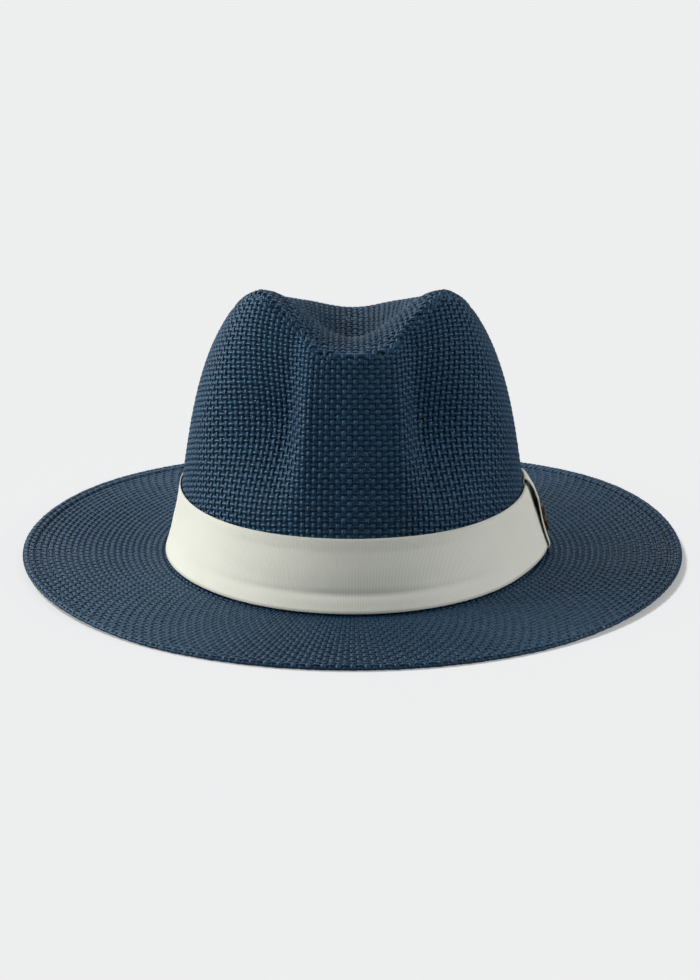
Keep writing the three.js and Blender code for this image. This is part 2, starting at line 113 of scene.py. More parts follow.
class FedoraSizes(bpy.types.PropertyGroup):
    """Sizes of the cloth and the shaping that the frame leaves open."""

    upright_pitch: distance("Upright pitch", "Between the crown's upright strands", 2.6 * MM)
    row_pitch: distance("Row pitch", "Between the crown's level strands", 2.3 * MM)
    ring_pitch: distance("Ring pitch", "Between the brim's rings of straw", 2.75 * MM)
    spokes: bpy.props.IntProperty(
        name="Spokes", description="Strands that cross the brim, an even number", default=344
    )
    crown_strand: distance("Crown strand", "Half thickness of a strand of the crown", 0.31 * MM)
    brim_strand: distance("Brim strand", "Half thickness of a strand of the brim", 0.24 * MM)
    pinch_depth: distance("Pinch depth", "How deep the two finger pinches are", 13.0 * MM)
    dent_depth: distance("Dent depth", "How deep the dent is behind the front rim", 7.0 * MM)
    rim_dip: distance("Rim dip", "How far the front rim dips between the ridges", 18.0 * MM)
    rib_pitch: distance("Rib pitch", "Between the ribs of the ribbon", 0.72 * MM)
    ribbon_cloth: distance("Ribbon cloth", "Thickness of the ribbon", 0.45 * MM)


class FedoraColours(bpy.types.PropertyGroup):
    """Colours of the straw, cloths and metal."""

    straw: colour("Straw", "Dyed paper straw", (0.0037, 0.0143, 0.0325))
    straw_dark: colour("Dark straw", "Deeper dyed strands", (0.0012, 0.005, 0.012))
    ribbon: colour("Ribbon", "Grosgrain", (0.735, 0.74, 0.655))
    lining: colour("Lining", "Sweatband and tapes", (0.022, 0.032, 0.055))
    label: colour("Label", "Blank size label", (0.78, 0.77, 0.73))
    bronze: colour("Bronze", "Antique badge metal", (0.075, 0.046, 0.025))


def sizes():
    """The size properties of the scene."""
    return bpy.context.scene.fedora_sizes


def colours():
    """The colour properties of the scene."""
    return bpy.context.scene.fedora_colours


# ---------------------------------------------------------------- numbers on arrays


def ease(u):
    """Smooth step: 0 below 0, 1 above 1, a cubic between."""
    u = np.clip(u, 0, 1)
    return u * u * (3 - 2 * u)


def bump(u):
    """Cosine bell: 1 at 0, 0 from -1 and 1 outwards."""
    return np.cos(np.clip(u, -1, 1) * np.pi / 2) ** 2


def unit(vectors):
    """Each vector divided by its length."""
    return vectors / np.maximum(np.linalg.norm(vectors, axis=-1, keepdims=True), 1e-12)


def stack(*parts):
    """Arrays of x, y and z as one array of points."""
    return np.stack(np.broadcast_arrays(*parts), axis=-1)


# ---------------------------------------------------------------- the hat's surfaces

WALL_LEAN = math.radians(11)
SHOULDER_LEAN = 37
FRONT_LEAN = 16
BACK_LEAN = 40
RIDGE_X = 34.4 * MM
PEAK_Y = -46 * MM
RIDGE_SLOPE = 0.2214
RIDGE_BOW = 0.0006 / MM
FRONT_FALL = 0.0174 / MM
FRONT_LEVEL = 0.85
SHOULDER_FALL = 0.0238 / MM
END_FALL = 0.01 / MM
PINCH_ANGLE = 31
PINCH_INNER = 14
PINCH_OUTER = 34
PINCH_HEIGHT = 0.6 * CROWN_TOP
PINCH_DROP = 0.33 * CROWN_TOP
PINCH_AT_SEAM = 0.4


def top_height(x, y):
    """Height of the crown's top over the plan.

    Two ridges fall towards the back in a shallow curve and, ahead of their peaks, with the square
    of the distance; outside them the height drops with the square of the distance; between them a
    cosine bell levels the front and takes off the rim's dip and the dent.
    """
    size = sizes()
    behind = np.maximum(y - PEAK_Y, 0)
    ahead = np.minimum(y - PEAK_Y, 0)
    back = ease((y + 10 * MM) / (75 * MM))
    ridge_x = RIDGE_X * (1 - 0.75 * back)
    outside = np.maximum(np.abs(x) - ridge_x, 0)
    between = bump(x / (ridge_x + 6 * MM))
    front_fall = FRONT_FALL * (1 - FRONT_LEVEL * between) * ahead**2
    ridge = CROWN_TOP + 0.8 * MM - RIDGE_SLOPE * behind - RIDGE_BOW * (behind + ahead) ** 2 - front_fall
    shoulder = SHOULDER_FALL * (1 - 0.62 * back) * outside**2
    rim_dip = size.rim_dip * (1 - ease((y + 5 * MM) / (60 * MM))) * between
    dent = size.dent_depth * bump((y + 22 * MM) / (46 * MM)) * bump(x / (ridge_x - 2 * MM))
    return ridge - shoulder - rim_dip - dent - END_FALL * np.maximum(y - 35 * MM, 0) ** 2


def outward(t):
    """Level unit vector square to the foot's ellipse."""
    return unit(stack(np.cos(t) / FOOT_X, np.sin(t) / FOOT_Y, 0 * t))


def from_front(t):
    """Degrees round the hat from the front, -180 to 180."""
    return (np.degrees(t) + 90 + 180) % 360 - 180


def pinch_across(t):
    """Share of a finger pinch's depth round the hat: a bell, steeper towards the nose."""
    side = np.abs(from_front(t)) - PINCH_ANGLE
    return np.where(side < 0, bump(side / PINCH_INNER), bump(side / PINCH_OUTER))


def pinch(t, z, seam_z):
    """Depth of the finger pinches: the share across, times a bell below their middle and, above
    it, a smooth step down to what is left at the seam."""
    rise = z - PINCH_HEIGHT
    upper = 1 - (1 - PINCH_AT_SEAM) * ease(rise / (seam_z - PINCH_HEIGHT))
    along = np.where(rise > 0, upper, bump(rise / PINCH_DROP))
    return sizes().pinch_depth * pinch_across(t) * along


def seam_pull(t):
    """How far the pinches pull the tip seam in."""
    return sizes().pinch_depth * PINCH_AT_SEAM * pinch_across(t)


def tip_seam(t):
    """The seam between tip and wall: an ellipse of the plan, pulled in at the pinches and lifted
    to the top's height."""
    out = outward(t) * -seam_pull(t)[..., None]
    x = TIP_X * np.cos(t) + out[..., 0]
    y = TIP_Y * np.sin(t) + TIP_SETBACK + out[..., 1]
    return stack(x, y, top_height(x, y))


def wall(t, v):
    """Outer face of the crown's wall: a cubic curve from the foot to the tip seam at each angle,
    its handles set by how far the cloth leans there, pressed in by the pinches."""
    out = outward(t)
    foot = stack(FOOT_X * np.cos(t), FOOT_Y * np.sin(t), FOOT_Z + 0 * t)
    top = tip_seam(t) + out * seam_pull(t)[..., None]
    height = (top[..., 2] - FOOT_Z)[..., None]
    front = bump(from_front(t) / 45)
    back = ease(np.sin(t))
    lean = SHOULDER_LEAN + (FRONT_LEAN - SHOULDER_LEAN) * front + (BACK_LEAN - SHOULDER_LEAN) * back
    lean = np.radians(lean)[..., None]
    up = np.array([0.0, 0.0, 1.0])
    low = foot + 0.36 * height * (up * math.cos(WALL_LEAN) - out * math.sin(WALL_LEAN))
    high = top - 0.297 * height * (up * np.cos(lean) - out * np.sin(lean))
    v = np.asarray(v)[..., None]
    point = foot * (1 - v) ** 3 + 3 * low * v * (1 - v) ** 2 + 3 * high * v * v * (1 - v) + top * v**3
    return point - out * pinch(t, point[..., 2], top[..., 2])[..., None]


def surface_normal(face, u, v, step_u, step_v):
    """Unit cross product of the face's two small steps."""
    along_u = face(u + step_u, v) - face(u - step_u, v)
    along_v = face(u, v + step_v) - face(u, v - step_v)
    return unit(np.cross(along_u, along_v))


def wall_normal(t, v):
    """Outward unit normal of the wall."""
    return surface_normal(wall, t, v, 1e-4, 1e-4)


def wall_share(t, z):
    """Share of the wall's run at which it reaches height z, by halving the interval."""
    low = np.zeros_like(z + t)
    high = np.ones_like(low)
    for _ in range(20):
        middle = (low + high) / 2
        below = wall(t, middle)[..., 2] < z
        low = np.where(below, middle, low)
        high = np.where(below, high, middle)
    return (low + high) / 2


def off_wall(t, z, away):
    """Point at height z, a distance away from the wall's outer face."""
    share = wall_share(t, z)
    return wall(t, share) + wall_normal(t, share) * np.asarray(away)[..., None]


def seam_sink(away):
    """How far cloth rolls in towards a seam: a bell that is deepest on the seam."""
    return 1.7 * MM * np.exp(-((away / (0.95 * MM)) ** 2))


def t_arc(cloth, t):
    """Signed arc length round the foot from the front."""
    return np.interp((t + np.pi / 2 + np.pi) % (2 * np.pi) - np.pi, cloth.turn, cloth.arc)


class WallPattern:
    """The wall's cloth laid flat.

    The wall unrolls to part of a flat ring: its angle follows the arc length round the foot and its
    radius falls with the run up the wall. The straw runs straight across that flat piece, so
    it stands upright in front and leans more and more towards the seam at the back.
    """

    def __init__(self):
        self.turn = np.linspace(-np.pi, np.pi, 1441)
        t = self.turn - np.pi / 2
        foot = stack(FOOT_X * np.cos(t), FOOT_Y * np.sin(t), 0 * t)
        step = np.linalg.norm(np.diff(foot, axis=0), axis=1)
        arc = np.concatenate([[0], np.cumsum(step)])
        self.half = arc[-1] / 2
        self.arc = arc - self.half
        shares = np.linspace(0, 1, 41)
        grid = wall(t[:, None] + 0 * shares, shares + 0 * t[:, None])
        self.run = np.linalg.norm(np.diff(grid, axis=1), axis=2).sum(axis=1)
        seam = np.linalg.norm(np.diff(grid[:, -1], axis=0), axis=1).sum()
        cone = (2 * self.half - seam) / self.run.mean()
        self.radius = 2 * self.half / cone
        self.top = (self.radius - (self.radius - self.run) * np.cos(self.arc / self.radius)).max()

    def place(self, x, y):
        """Angle round the hat, share up the wall, and what is past the back seam, of flat points."""
        along = np.arctan2(x, self.radius - y) * self.radius
        up = self.radius - np.hypot(x, self.radius - y)
        turn = np.interp(along, self.arc, self.turn)
        run = np.interp(turn, self.turn, self.run)
        return turn - np.pi / 2, up / run, np.maximum(np.abs(along) - self.half, 0), run

    def __call__(self, x, y):
        """Middle of the cloth at a flat point; the seam allowances turn into the hat."""
        t, v, past_back, run = self.place(x, y)
        inside = np.clip(v, 0.002, 0.998)
        normal = wall_normal(t, inside)
        below_seam = np.maximum(1 - v, 0) * run
        before_back = np.maximum(self.half - np.abs(t_arc(self, t)), 0)
        sink = 0.55 * MM + seam_sink(below_seam) + seam_sink(before_back)
        point = wall(t, np.minimum(v, 1)) - normal * sink[..., None]
        past_top = np.maximum(v - 1, 0) * run
        fold = unit(-outward(t) * 0.5 + np.array([0.0, 0.0, -1.0]))
        point = point + fold * np.minimum(past_top, 0.004)[..., None]
        return point - normal * past_back[..., None]

    def calm(self, x, y):
        """Share of the weave's waves that is left: the seam's stitches press it flat."""
        t, v, past_back, run = self.place(x, y)
        return 0.3 + 0.7 * ease(np.abs(1 - v) * run / (3.2 * MM))

    def keep(self, x, y):
        """True where the cloth was cut: foot to tip seam, and a short allowance past the seams."""
        t, v, past_back, run = self.place(x, y)
        return (v > 0.02) & ((v - 1) * run < 2.5 * MM) & (past_back < 2.5 * MM)


class TipPattern:
    """The tip's cloth laid flat: rows are spaced by arc length along the middle line, and strands
    by arc length across from it. Past the seam the allowance turns down into the hat."""

    def __init__(self):
        self.ys = np.linspace(-TIP_Y, TIP_Y, 240) + TIP_SETBACK
        self.xs = np.linspace(0, TIP_X * 1.1, 160)
        middle = top_height(0 * self.ys, self.ys)
        step = np.hypot(np.diff(self.ys), np.diff(middle))
        arc = np.concatenate([[0], np.cumsum(step)])
        self.arc_y = arc - np.interp(TIP_SETBACK, self.ys, arc)
        height = top_height(self.xs[None, :] + 0 * self.ys[:, None], self.ys[:, None] + 0 * self.xs)
        steps = np.hypot(np.diff(self.xs)[None, :], np.diff(height, axis=1))
        self.arc_x = np.concatenate([np.zeros((len(self.ys), 1)), np.cumsum(steps, axis=1)], axis=1)
        seam = tip_seam(np.linspace(0, 2 * np.pi, 1440, endpoint=False))
        self.turn = np.arctan2(seam[:, 1] - TIP_SETBACK, seam[:, 0])
        self.reach = np.hypot(seam[:, 0], seam[:, 1] - TIP_SETBACK)

    def across(self, x, y):
        """Arc length from the middle line out to x at y, from the table."""
        i = np.clip((y - self.ys[0]) / (self.ys[1] - self.ys[0]), 0, len(self.ys) - 1.001)
        j = np.clip(x / (self.xs[1] - self.xs[0]), 0, len(self.xs) - 1.001)
        i0, j0 = i.astype(int), j.astype(int)
        fi, fj = i - i0, j - j0
        near = self.arc_x[i0, j0] * (1 - fj) + self.arc_x[i0, j0 + 1] * fj
        far = self.arc_x[i0 + 1, j0] * (1 - fj) + self.arc_x[i0 + 1, j0 + 1] * fj
        return near * (1 - fi) + far * fi

    def place(self, a, b):
        """Plan point of a flat point, and its share from the middle to the rim."""
        past_ends = np.minimum(b - self.arc_y[0], 0) + np.maximum(b - self.arc_y[-1], 0)
        y = np.interp(b, self.arc_y, self.ys) + past_ends
        x = np.abs(a) / 1.2
        for _ in range(8):
            x = np.clip(x - (self.across(x, y) - np.abs(a)) / 1.3, 0, TIP_X * 1.1)
        x = x * np.sign(a)
        rim = np.interp(np.arctan2(y - TIP_SETBACK, x), self.turn, self.reach, period=2 * np.pi)
        return x, y, np.hypot(x, y - TIP_SETBACK) / rim

    def __call__(self, a, b):
        """Middle of the tip's cloth at a flat point."""
        x, y, share = self.place(a, b)
        inner = np.maximum(share, 1)
        rim_x, rim_y = x / inner, (y - TIP_SETBACK) / inner + TIP_SETBACK
        past = np.hypot(x - rim_x, y - rim_y)
        out = unit(stack(rim_x / TIP_X**2, (rim_y - TIP_SETBACK) / TIP_Y**2, 0 * x))
        fold = unit(-out * 0.5 + np.array([0.0, 0.0, -1.0]))
        normal = tip_normal(rim_x, rim_y)
        away = np.maximum(1 - share, 0) * np.hypot(x, y - TIP_SETBACK) / np.maximum(share, 0.05)
        padding = 0.6 * MM * ease(away / (2.2 * MM)) * (1 - ease((away - 4.6 * MM) / (2.4 * MM)))
        crease = 0.3 * MM * bump((away - 7.0 * MM) / (1.4 * MM))
        lift = padding - crease - seam_sink(away) - 0.55 * MM
        point = stack(rim_x, rim_y, top_height(rim_x, rim_y)) + normal * lift[..., None]
        return point + fold * past[..., None]

    def calm(self, a, b):
        """Share of the weave's waves that is left near the seam."""
        x, y, share = self.place(a, b)
        return 0.3 + 0.7 * ease(np.abs(1 - share) * TIP_X / (2.6 * MM))

    def keep(self, a, b):
        """True on the tip and a short allowance past its seam."""
        x, y, share = self.place(a, b)
        return (share - 1) * TIP_X < 2.2 * MM


class BrimPattern:
    """One ply of the brim: x is the angle round it and y the distance out from the crown.

    The underside rises a little at the crown and at the sides. The upper ply lies on the lower one,
    lifts over the wire near the edge and turns down round the edge in half an ellipse.
    """

    FIELD = 0.7 * MM
    BEAD = 1.75 * MM
    LIFT = 0.4 * MM
    TURN = 1.3 * MM

    def __init__(self, upper):
        self.upper = upper
        self.hand = -1 if upper else 1

    def base(self, t, out):
        """Height of the brim's underside."""
        w = np.clip(out / BRIM_WIDTH, 0, 1)
        near_crown = 1 - ease(w / 0.5)
        side = ease((np.abs(np.cos(t)) - 0.45) / 0.55)
        back = bump((from_front(t) - 128) / 46) * 2.2 * MM + bump((from_front(t) + 135) / 40) * 0.8 * MM
        return FOOT_Z * near_crown + (2.2 * MM * side + back) * ease(w)

    def __call__(self, x, y):
        """Middle of the ply's cloth."""
        t = self.hand * x
        level = BRIM_WIDTH - self.TURN
        joiner = 1 - ease(np.abs(180 - np.abs(from_front(t))) / 5 - 1)
        bead = self.BEAD + 1.0 * MM * joiner
        gap = self.FIELD + (bead - self.FIELD) * ease((y - (BRIM_WIDTH - 6 * MM)) / (3.2 * MM))
        round_turn = np.clip((y - level) / (1.2 * self.TURN), 0, np.pi)
        out = np.minimum(y, level) + self.TURN * np.sin(round_turn)
        lift = gap * (1 + np.cos(round_turn)) / 2 if self.upper else 0 * y
        normal = outward(t)
        foot = stack(FOOT_X * np.cos(t), FOOT_Y * np.sin(t), 0 * t)
        point = foot + normal * out[..., None]
        point[..., 2] = self.base(t, out) + self.LIFT + lift
        return point

    def calm(self, x, y):
        """Share of the weave's waves that is left: it is stretched flat round the edge."""
        return 0.45 + 0.55 * ease((BRIM_WIDTH - y) / (4 * MM))

    def keep(self, x, y):
        """True from the crown to the end of the turned edge, or for the lower ply to where it meets it."""
        end = BRIM_WIDTH - self.TURN + 1.2 * self.TURN * np.pi if self.upper else BRIM_WIDTH - self.TURN
        return (y > -1.2 * MM) & (y < end)


# ---------------------------------------------------------------- weaving

SAMPLES = 3
UPRIGHT_FILL = 0.88
TIP_FILL = 0.85
ROW_FILL = 0.88
SPOKE_FILL = 0.9
RING_FILL = 0.76


def strand_mesh(path, side, half_width, half_thick, keep, closed):
    """Tubes with a four-cornered section carried along many paths at once.

    path and side are strand by sample by xyz. The corners lie out along the side vector and along
    the normal, which is the side vector crossed with the path's direction. Returns the vertices,
    the faces, and which strand, sample and corner each vertex is.
    """
    if closed:
        ahead = np.roll(path, -1, axis=1) - np.roll(path, 1, axis=1)
    else:
        ahead = np.gradient(path, axis=1)
    ahead = unit(ahead)
    side = unit(side - ahead * (side * ahead).sum(-1, keepdims=True))
    normal = np.cross(side, ahead)
    wide = side * half_width[..., None]
    thick = normal * half_thick[..., None]
    corners = np.stack([path + wide, path + thick, path - wide, path - thick], axis=2)
    strands, samples = path.shape[:2]
    index = np.arange(strands * samples * 4).reshape(strands, samples, 4)
    after = np.roll(index, -1, axis=1)
    linked = keep & np.roll(keep, -1, axis=1)
    if not closed:
        linked[:, -1] = False
    here, there = index[linked], after[linked]
    nxt = np.roll(here, -1, axis=1), np.roll(there, -1, axis=1)
    sides = np.stack([here, there, nxt[1], nxt[0]], axis=2).reshape(-1, 4)
    starts = linked & ~np.roll(linked, 1, axis=1)
    ends = np.roll(linked, 1, axis=1) & ~linked
    caps = np.concatenate([index[starts], index[ends][:, ::-1]])
    faces = np.concatenate([sides, caps]) if len(caps) else sides
    used, faces = np.unique(faces, return_inverse=True)
    strand, sample, corner = np.unravel_index(used, index.shape)
    return corners.reshape(-1, 3)[used], faces.reshape(-1, 4), strand, sample, corner


def weave(pattern, lines, order, points, fill, thick, upright, closed=False, seed=0, samples=SAMPLES):
    """One set of strands of a plain weave.

    lines are the places of the strands across the cloth, order their whole numbers in it, and
    points the first crossing along it, the number of crossings and the step. At each crossing the
    strand lies over or under, by a cosine along it whose peaks are flattened; fill is the share of
    the space between strands that it covers, and it swells where it lies over. Slow waves and a
    tone of its own make each strand a little different.
    """
    rng = np.random.default_rng(seed)
    first, count, pitch = points
    along = first + pitch * (np.arange(count * samples) / samples)
    a = np.asarray(lines)[:, None]
    n = len(lines)
    b = along[None, :] + 0 * a
    phase = rng.uniform(0, 2 * np.pi, (3, n, 1))
    turns = b * 2 * np.pi / pitch
    wander = np.sin(turns / 23 + phase[0]) + 0.6 * np.sin(turns / 9.5 + phase[1])
    spread = np.diff(lines).mean() / np.diff(order).mean()
    across = a + (0 if closed else 0.035 * spread) * wander

    def place(p, q):
        return pattern(p, q) if upright else pattern(q, p)

    step_a, step_b = 0.04 * spread, 0.04 * pitch
    centre = place(across, b)
    side = place(across + step_a, b) - place(across - step_a, b)
    room = np.linalg.norm(side, axis=-1) / (2 * step_a) * spread
    room = room**0.6 * np.median(room) ** 0.4
    ahead = place(across, b + step_b) - place(across, b - step_b)
    if not upright:
        side = -side
    side, ahead = unit(side), unit(ahead)
    normal = unit(np.cross(side, ahead))
    wave = np.cos(np.pi * (b - first) / pitch + np.pi * np.asarray(order)[:, None])
    flat = wave / np.sqrt(wave**2 + 0.16) * math.sqrt(1.16)
    slub = 1 + 0.07 * np.sin(turns / 5.3 + phase[2]) + rng.normal(0, 0.06, (n, 1))
    slub = slub + rng.normal(0, 0.05, b.shape)
    flat_place = (across, b) if upright else (b, across)
    keep = pattern.keep(*flat_place)
    calm = pattern.calm(*flat_place)
    half_width = fill / 2 * room * slub * (0.84 + 0.16 * np.abs(flat))
    half_thick = thick * (1 + rng.normal(0, 0.08, (n, 1))) + 0 * b
    lift = flat * thick * calm * (0.92 + rng.normal(0, 0.08, b.shape))
    path = centre + normal * lift[..., None]
    made = strand_mesh(path, side, half_width, half_thick, keep, closed)
    tone = np.clip(0.5 + rng.normal(0, 0.17, (n, 1)) + 0.05 * wander + rng.normal(0, 0.05, b.shape), 0, 1)
    return (*made, tone, along, n)


def new_mesh(name, vertices, faces):
    """A smooth-shaded object at the origin from vertex and face arrays."""
    mesh = bpy.data.meshes.new(name)
    sides = faces.shape[1]
    mesh.vertices.add(len(vertices))
    mesh.vertices.foreach_set("co", vertices.astype(np.float32).ravel())
    mesh.loops.add(faces.size)
    mesh.loops.foreach_set("vertex_index", faces.astype(np.int32).ravel())
    mesh.polygons.add(len(faces))
    mesh.polygons.foreach_set("loop_start", np.arange(len(faces), dtype=np.int32) * sides)
    mesh.update(calc_edges=True)
    mesh.shade_smooth()
    piece = bpy.data.objects.new(name, mesh)
    bpy.context.scene.collection.objects.link(piece)
    return piece


def set_map(piece, name, u, v):
    """A UV map from one value pair for each face corner."""
    layer = piece.data.uv_layers.new(name=name)
    layer.uv.foreach_set("vector", np.stack([u, v], axis=-1).astype(np.float32).ravel())


def set_tone(piece, values):
    """A number for each vertex that the material reads as the tone of the cloth."""
    layer = piece.data.attributes.new(TONE, "FLOAT", "POINT")
    layer.data.foreach_set("value", values.astype(np.float32))


def strand_object(name, made, material):
    """An object from woven strands, with its tone, a map along each strand and one for baking."""
    vertices, faces, strand, sample, corner, tone, along, count = made
    piece = new_mesh(name, vertices, faces)
    set_tone(piece, tone[strand, sample])
    loops = faces.ravel()
    round_share = corner[loops].astype(float)
    zero = (corner[faces] == 0) & (corner[faces] == 3).any(axis=1)[:, None]
    round_share = round_share + 4.0 * zero.ravel()
    length = along[sample[loops]]
    set_map(piece, STRAND_MAP, length, (strand[loops] * 7 + round_share) / 4)
    span = (length - along[0]) / (along[-1] - along[0] + 1e-9)
    set_map(piece, BAKE_MAP, 0.01 + 0.98 * span, (strand[loops] + 0.1 + 0.8 * round_share / 4) / count)
    finish_piece(piece, material)
    return piece


def grid_object(name, outer, inner, material, closed_u=True, closed_v=False):
    """A closed skin between two grids of points, u by v by xyz, the outer one facing out.

    closed_u and closed_v join the grid's last row to its first; open edges are walled across.
    """
    nu, nv = outer.shape[:2]
    index = np.arange(2 * nu * nv).reshape(2, nu, nv)
    i = np.arange(nu if closed_u else nu - 1)
    j = np.arange(nv if closed_v else nv - 1)
    gi, gj = np.meshgrid(i, j, indexing="ij")
    ni, nj = (gi + 1) % nu, (gj + 1) % nv
    top = np.stack([index[0, gi, gj], index[0, ni, gj], index[0, ni, nj], index[0, gi, nj]], axis=-1)
    low = np.stack([index[1, gi, gj], index[1, gi, nj], index[1, ni, nj], index[1, ni, gj]], axis=-1)
    faces = [top.reshape(-1, 4), low.reshape(-1, 4)]
    if not closed_v:
        n = (i + 1) % nu
        faces.append(np.stack([index[0, i, 0], index[1, i, 0], index[1, n, 0], index[0, n, 0]], axis=-1))
        faces.append(np.stack([index[0, i, -1], index[0, n, -1], index[1, n, -1], index[1, i, -1]], axis=-1))
    if not closed_u:
        n = (j + 1) % nv
        faces.append(np.stack([index[0, 0, j], index[0, 0, n], index[1, 0, n], index[1, 0, j]], axis=-1))
        faces.append(np.stack([index[0, -1, j], index[1, -1, j], index[1, -1, n], index[0, -1, n]], axis=-1))
    faces = np.concatenate(faces)
    vertices = np.concatenate([outer.reshape(-1, 3), inner.reshape(-1, 3)])
    piece = new_mesh(name, vertices, faces)
    skin, u, v = np.unravel_index(faces, index.shape)
    wrap_u = closed_u & ((u == nu - 1).any(axis=1) & (u == 0).any(axis=1))[:, None] & (u == 0)
    wrap_v = closed_v & ((v == nv - 1).any(axis=1) & (v == 0).any(axis=1))[:, None] & (v == 0)
    u = (u + nu * wrap_u) / (nu if closed_u else nu - 1)
    v = (v + nv * wrap_v) / (nv if closed_v else nv - 1)
    set_map(piece, STRAND_MAP, u.ravel(), v.ravel())
    low_half = 0.5 * (skin.min(axis=1) > 0)[:, None]
    set_map(piece, BAKE_MAP, 0.01 + 0.98 * u.ravel(), (0.01 + 0.47 * v + low_half).ravel())
    finish_piece(piece, material)
    return piece


def finish_piece(piece, material):
    """Gives the piece its material, its slot of the record and its body."""
    piece.data.materials.append(material)
    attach(piece, BODY)


# ---------------------------------------------------------------- materials


def once(build):
    """Keeps the material that a builder made first for each set of its arguments."""
    made = {}

    def kept(*choices):
        if choices not in made:
            made[choices] = build(*choices)
        return made[choices]

    kept.__doc__ = build.__doc__
    return kept


class Nodes:
    """Short helper that adds nodes to a material and links them."""

    def __init__(self, name):
        self.material = bpy.data.materials.new(name)
        self.material.use_nodes = True
        self.tree = self.material.node_tree
        self.shader = self.tree.nodes["Principled BSDF"]

    def add(self, kind, inputs=(), **settings):
        """A node of a kind, its settings, and its inputs as values or links."""
        node = self.tree.nodes.new(kind)
        for key, value in settings.items():
            setattr(node, key, value)
        for key, value in dict(inputs).items():
            self.plug(node.inputs[key], value)
        return node

    def plug(self, socket, value):
        """Sets a socket, or links it if the value is another socket."""
        if isinstance(value, bpy.types.NodeSocket):
            self.tree.links.new(value, socket)
        else:
            socket.default_value = value

    def maths(self, operation, first, second=0.0):
        """A Math node's result."""
        return self.add("ShaderNodeMath", {0: first, 1: second}, operation=operation).outputs[0]

    def colours(self, value, stops):
        """Sets the base colour from a ramp."""
        self.plug(self.shader.inputs["Base Color"], self.ramp(value, stops))

    def finish(self, **values):
        """Sets the shader's inputs by their names, with _ for a space."""
        for key, value in values.items():
            self.plug(self.shader.inputs[key.replace("_", " ")], value)

    def where(self):
        """The Object coordinates."""
        return self.add("ShaderNodeTexCoord").outputs["Object"]

    def ramp(self, value, stops):
        """A colour ramp through (place, colour) stops."""
        node = self.add("ShaderNodeValToRGB", {"Fac": value})
        elements = node.color_ramp.elements
        for extra in range(len(stops) - 2):
            elements.new(0.5)
        for element, (place, shade) in zip(elements, stops):
            element.position = place
            element.color = (*shade, 1)
        return node.outputs["Color"]

    def mix(self, share, first, second, blend="MIX"):
        """A colour mix."""
        node = self.add("ShaderNodeMix", data_type="RGBA", blend_type=blend)
        self.plug(node.inputs["Factor"], share)
        for socket, value in ((node.inputs[6], first), (node.inputs[7], second)):
            self.plug(socket, (*value, 1) if isinstance(value, (tuple, list)) and len(value) == 3 else value)
        return node.outputs[2]

    def noise(self, vector, scale, detail=2.0, rough=0.5):
        """A noise texture's number."""
        inputs = {"Vector": vector, "Scale": scale, "Detail": detail, "Roughness": rough}
        return self.add("ShaderNodeTexNoise", inputs).outputs["Fac"]

    def stretched(self, vector, scale):
        """A vector scaled by three numbers."""
        return self.add("ShaderNodeMapping", {"Vector": vector, "Scale": scale}).outputs["Vector"]

    def bump(self, height, distance, strength=1.0):
        """Bumps the shader's normal."""
        inputs = {"Height": height, "Distance": distance, "Strength": strength}
        node = self.add("ShaderNodeBump", inputs)
        self.tree.links.new(node.outputs["Normal"], self.shader.inputs["Normal"])


def scaled(shade, factor):
    """A colour times a number, kept in range."""
    return tuple(min(max(c * factor, 0), 1) for c in shade)


@once
def straw_material():
    """Dyed paper strands: each has its own tone, fine lengthways creases and a dull sheen."""
    m = Nodes("paper_straw")
    shades = colours()
    tone = m.add("ShaderNodeAttribute", attribute_name=TONE).outputs["Fac"]
    uv = m.add("ShaderNodeUVMap", uv_map=STRAND_MAP).outputs["UV"]
    where = m.where()
    patch = m.noise(where, 55.0, 3.0)
    creases = m.noise(m.stretched(uv, (900.0, 4.2, 1.0)), 1.0, 3.0, 0.6)
    fibre = m.noise(m.stretched(where, (1.0, 1.0, 1.0)), 1400.0, 2.0)
    level = m.maths("ADD", m.maths("MULTIPLY", tone, 0.62), m.maths("MULTIPLY", creases, 0.3))
    level = m.maths("ADD", level, m.maths("MULTIPLY", m.maths("SUBTRACT", patch, 0.5), 0.3))
    m.colours(level, [
        (0.15, tuple(shades.straw_dark)),
        (0.52, tuple(shades.straw)),
        (0.85, scaled(shades.straw, 2.0)),
    ])
    m.plug(m.shader.inputs["Roughness"], m.maths("ADD", m.maths("MULTIPLY", fibre, 0.25), 0.36))
    m.finish(
        Specular_IOR_Level=0.9,
        Specular_Tint=(0.3, 0.65, 1.0, 1),
        Sheen_Weight=0.15,
        Sheen_Roughness=0.45,
        Sheen_Tint=(0.2, 0.5, 1.0, 1),
    )
    m.bump(m.maths("ADD", creases, m.maths("MULTIPLY", fibre, 0.4)), 0.00008)
    return m.material


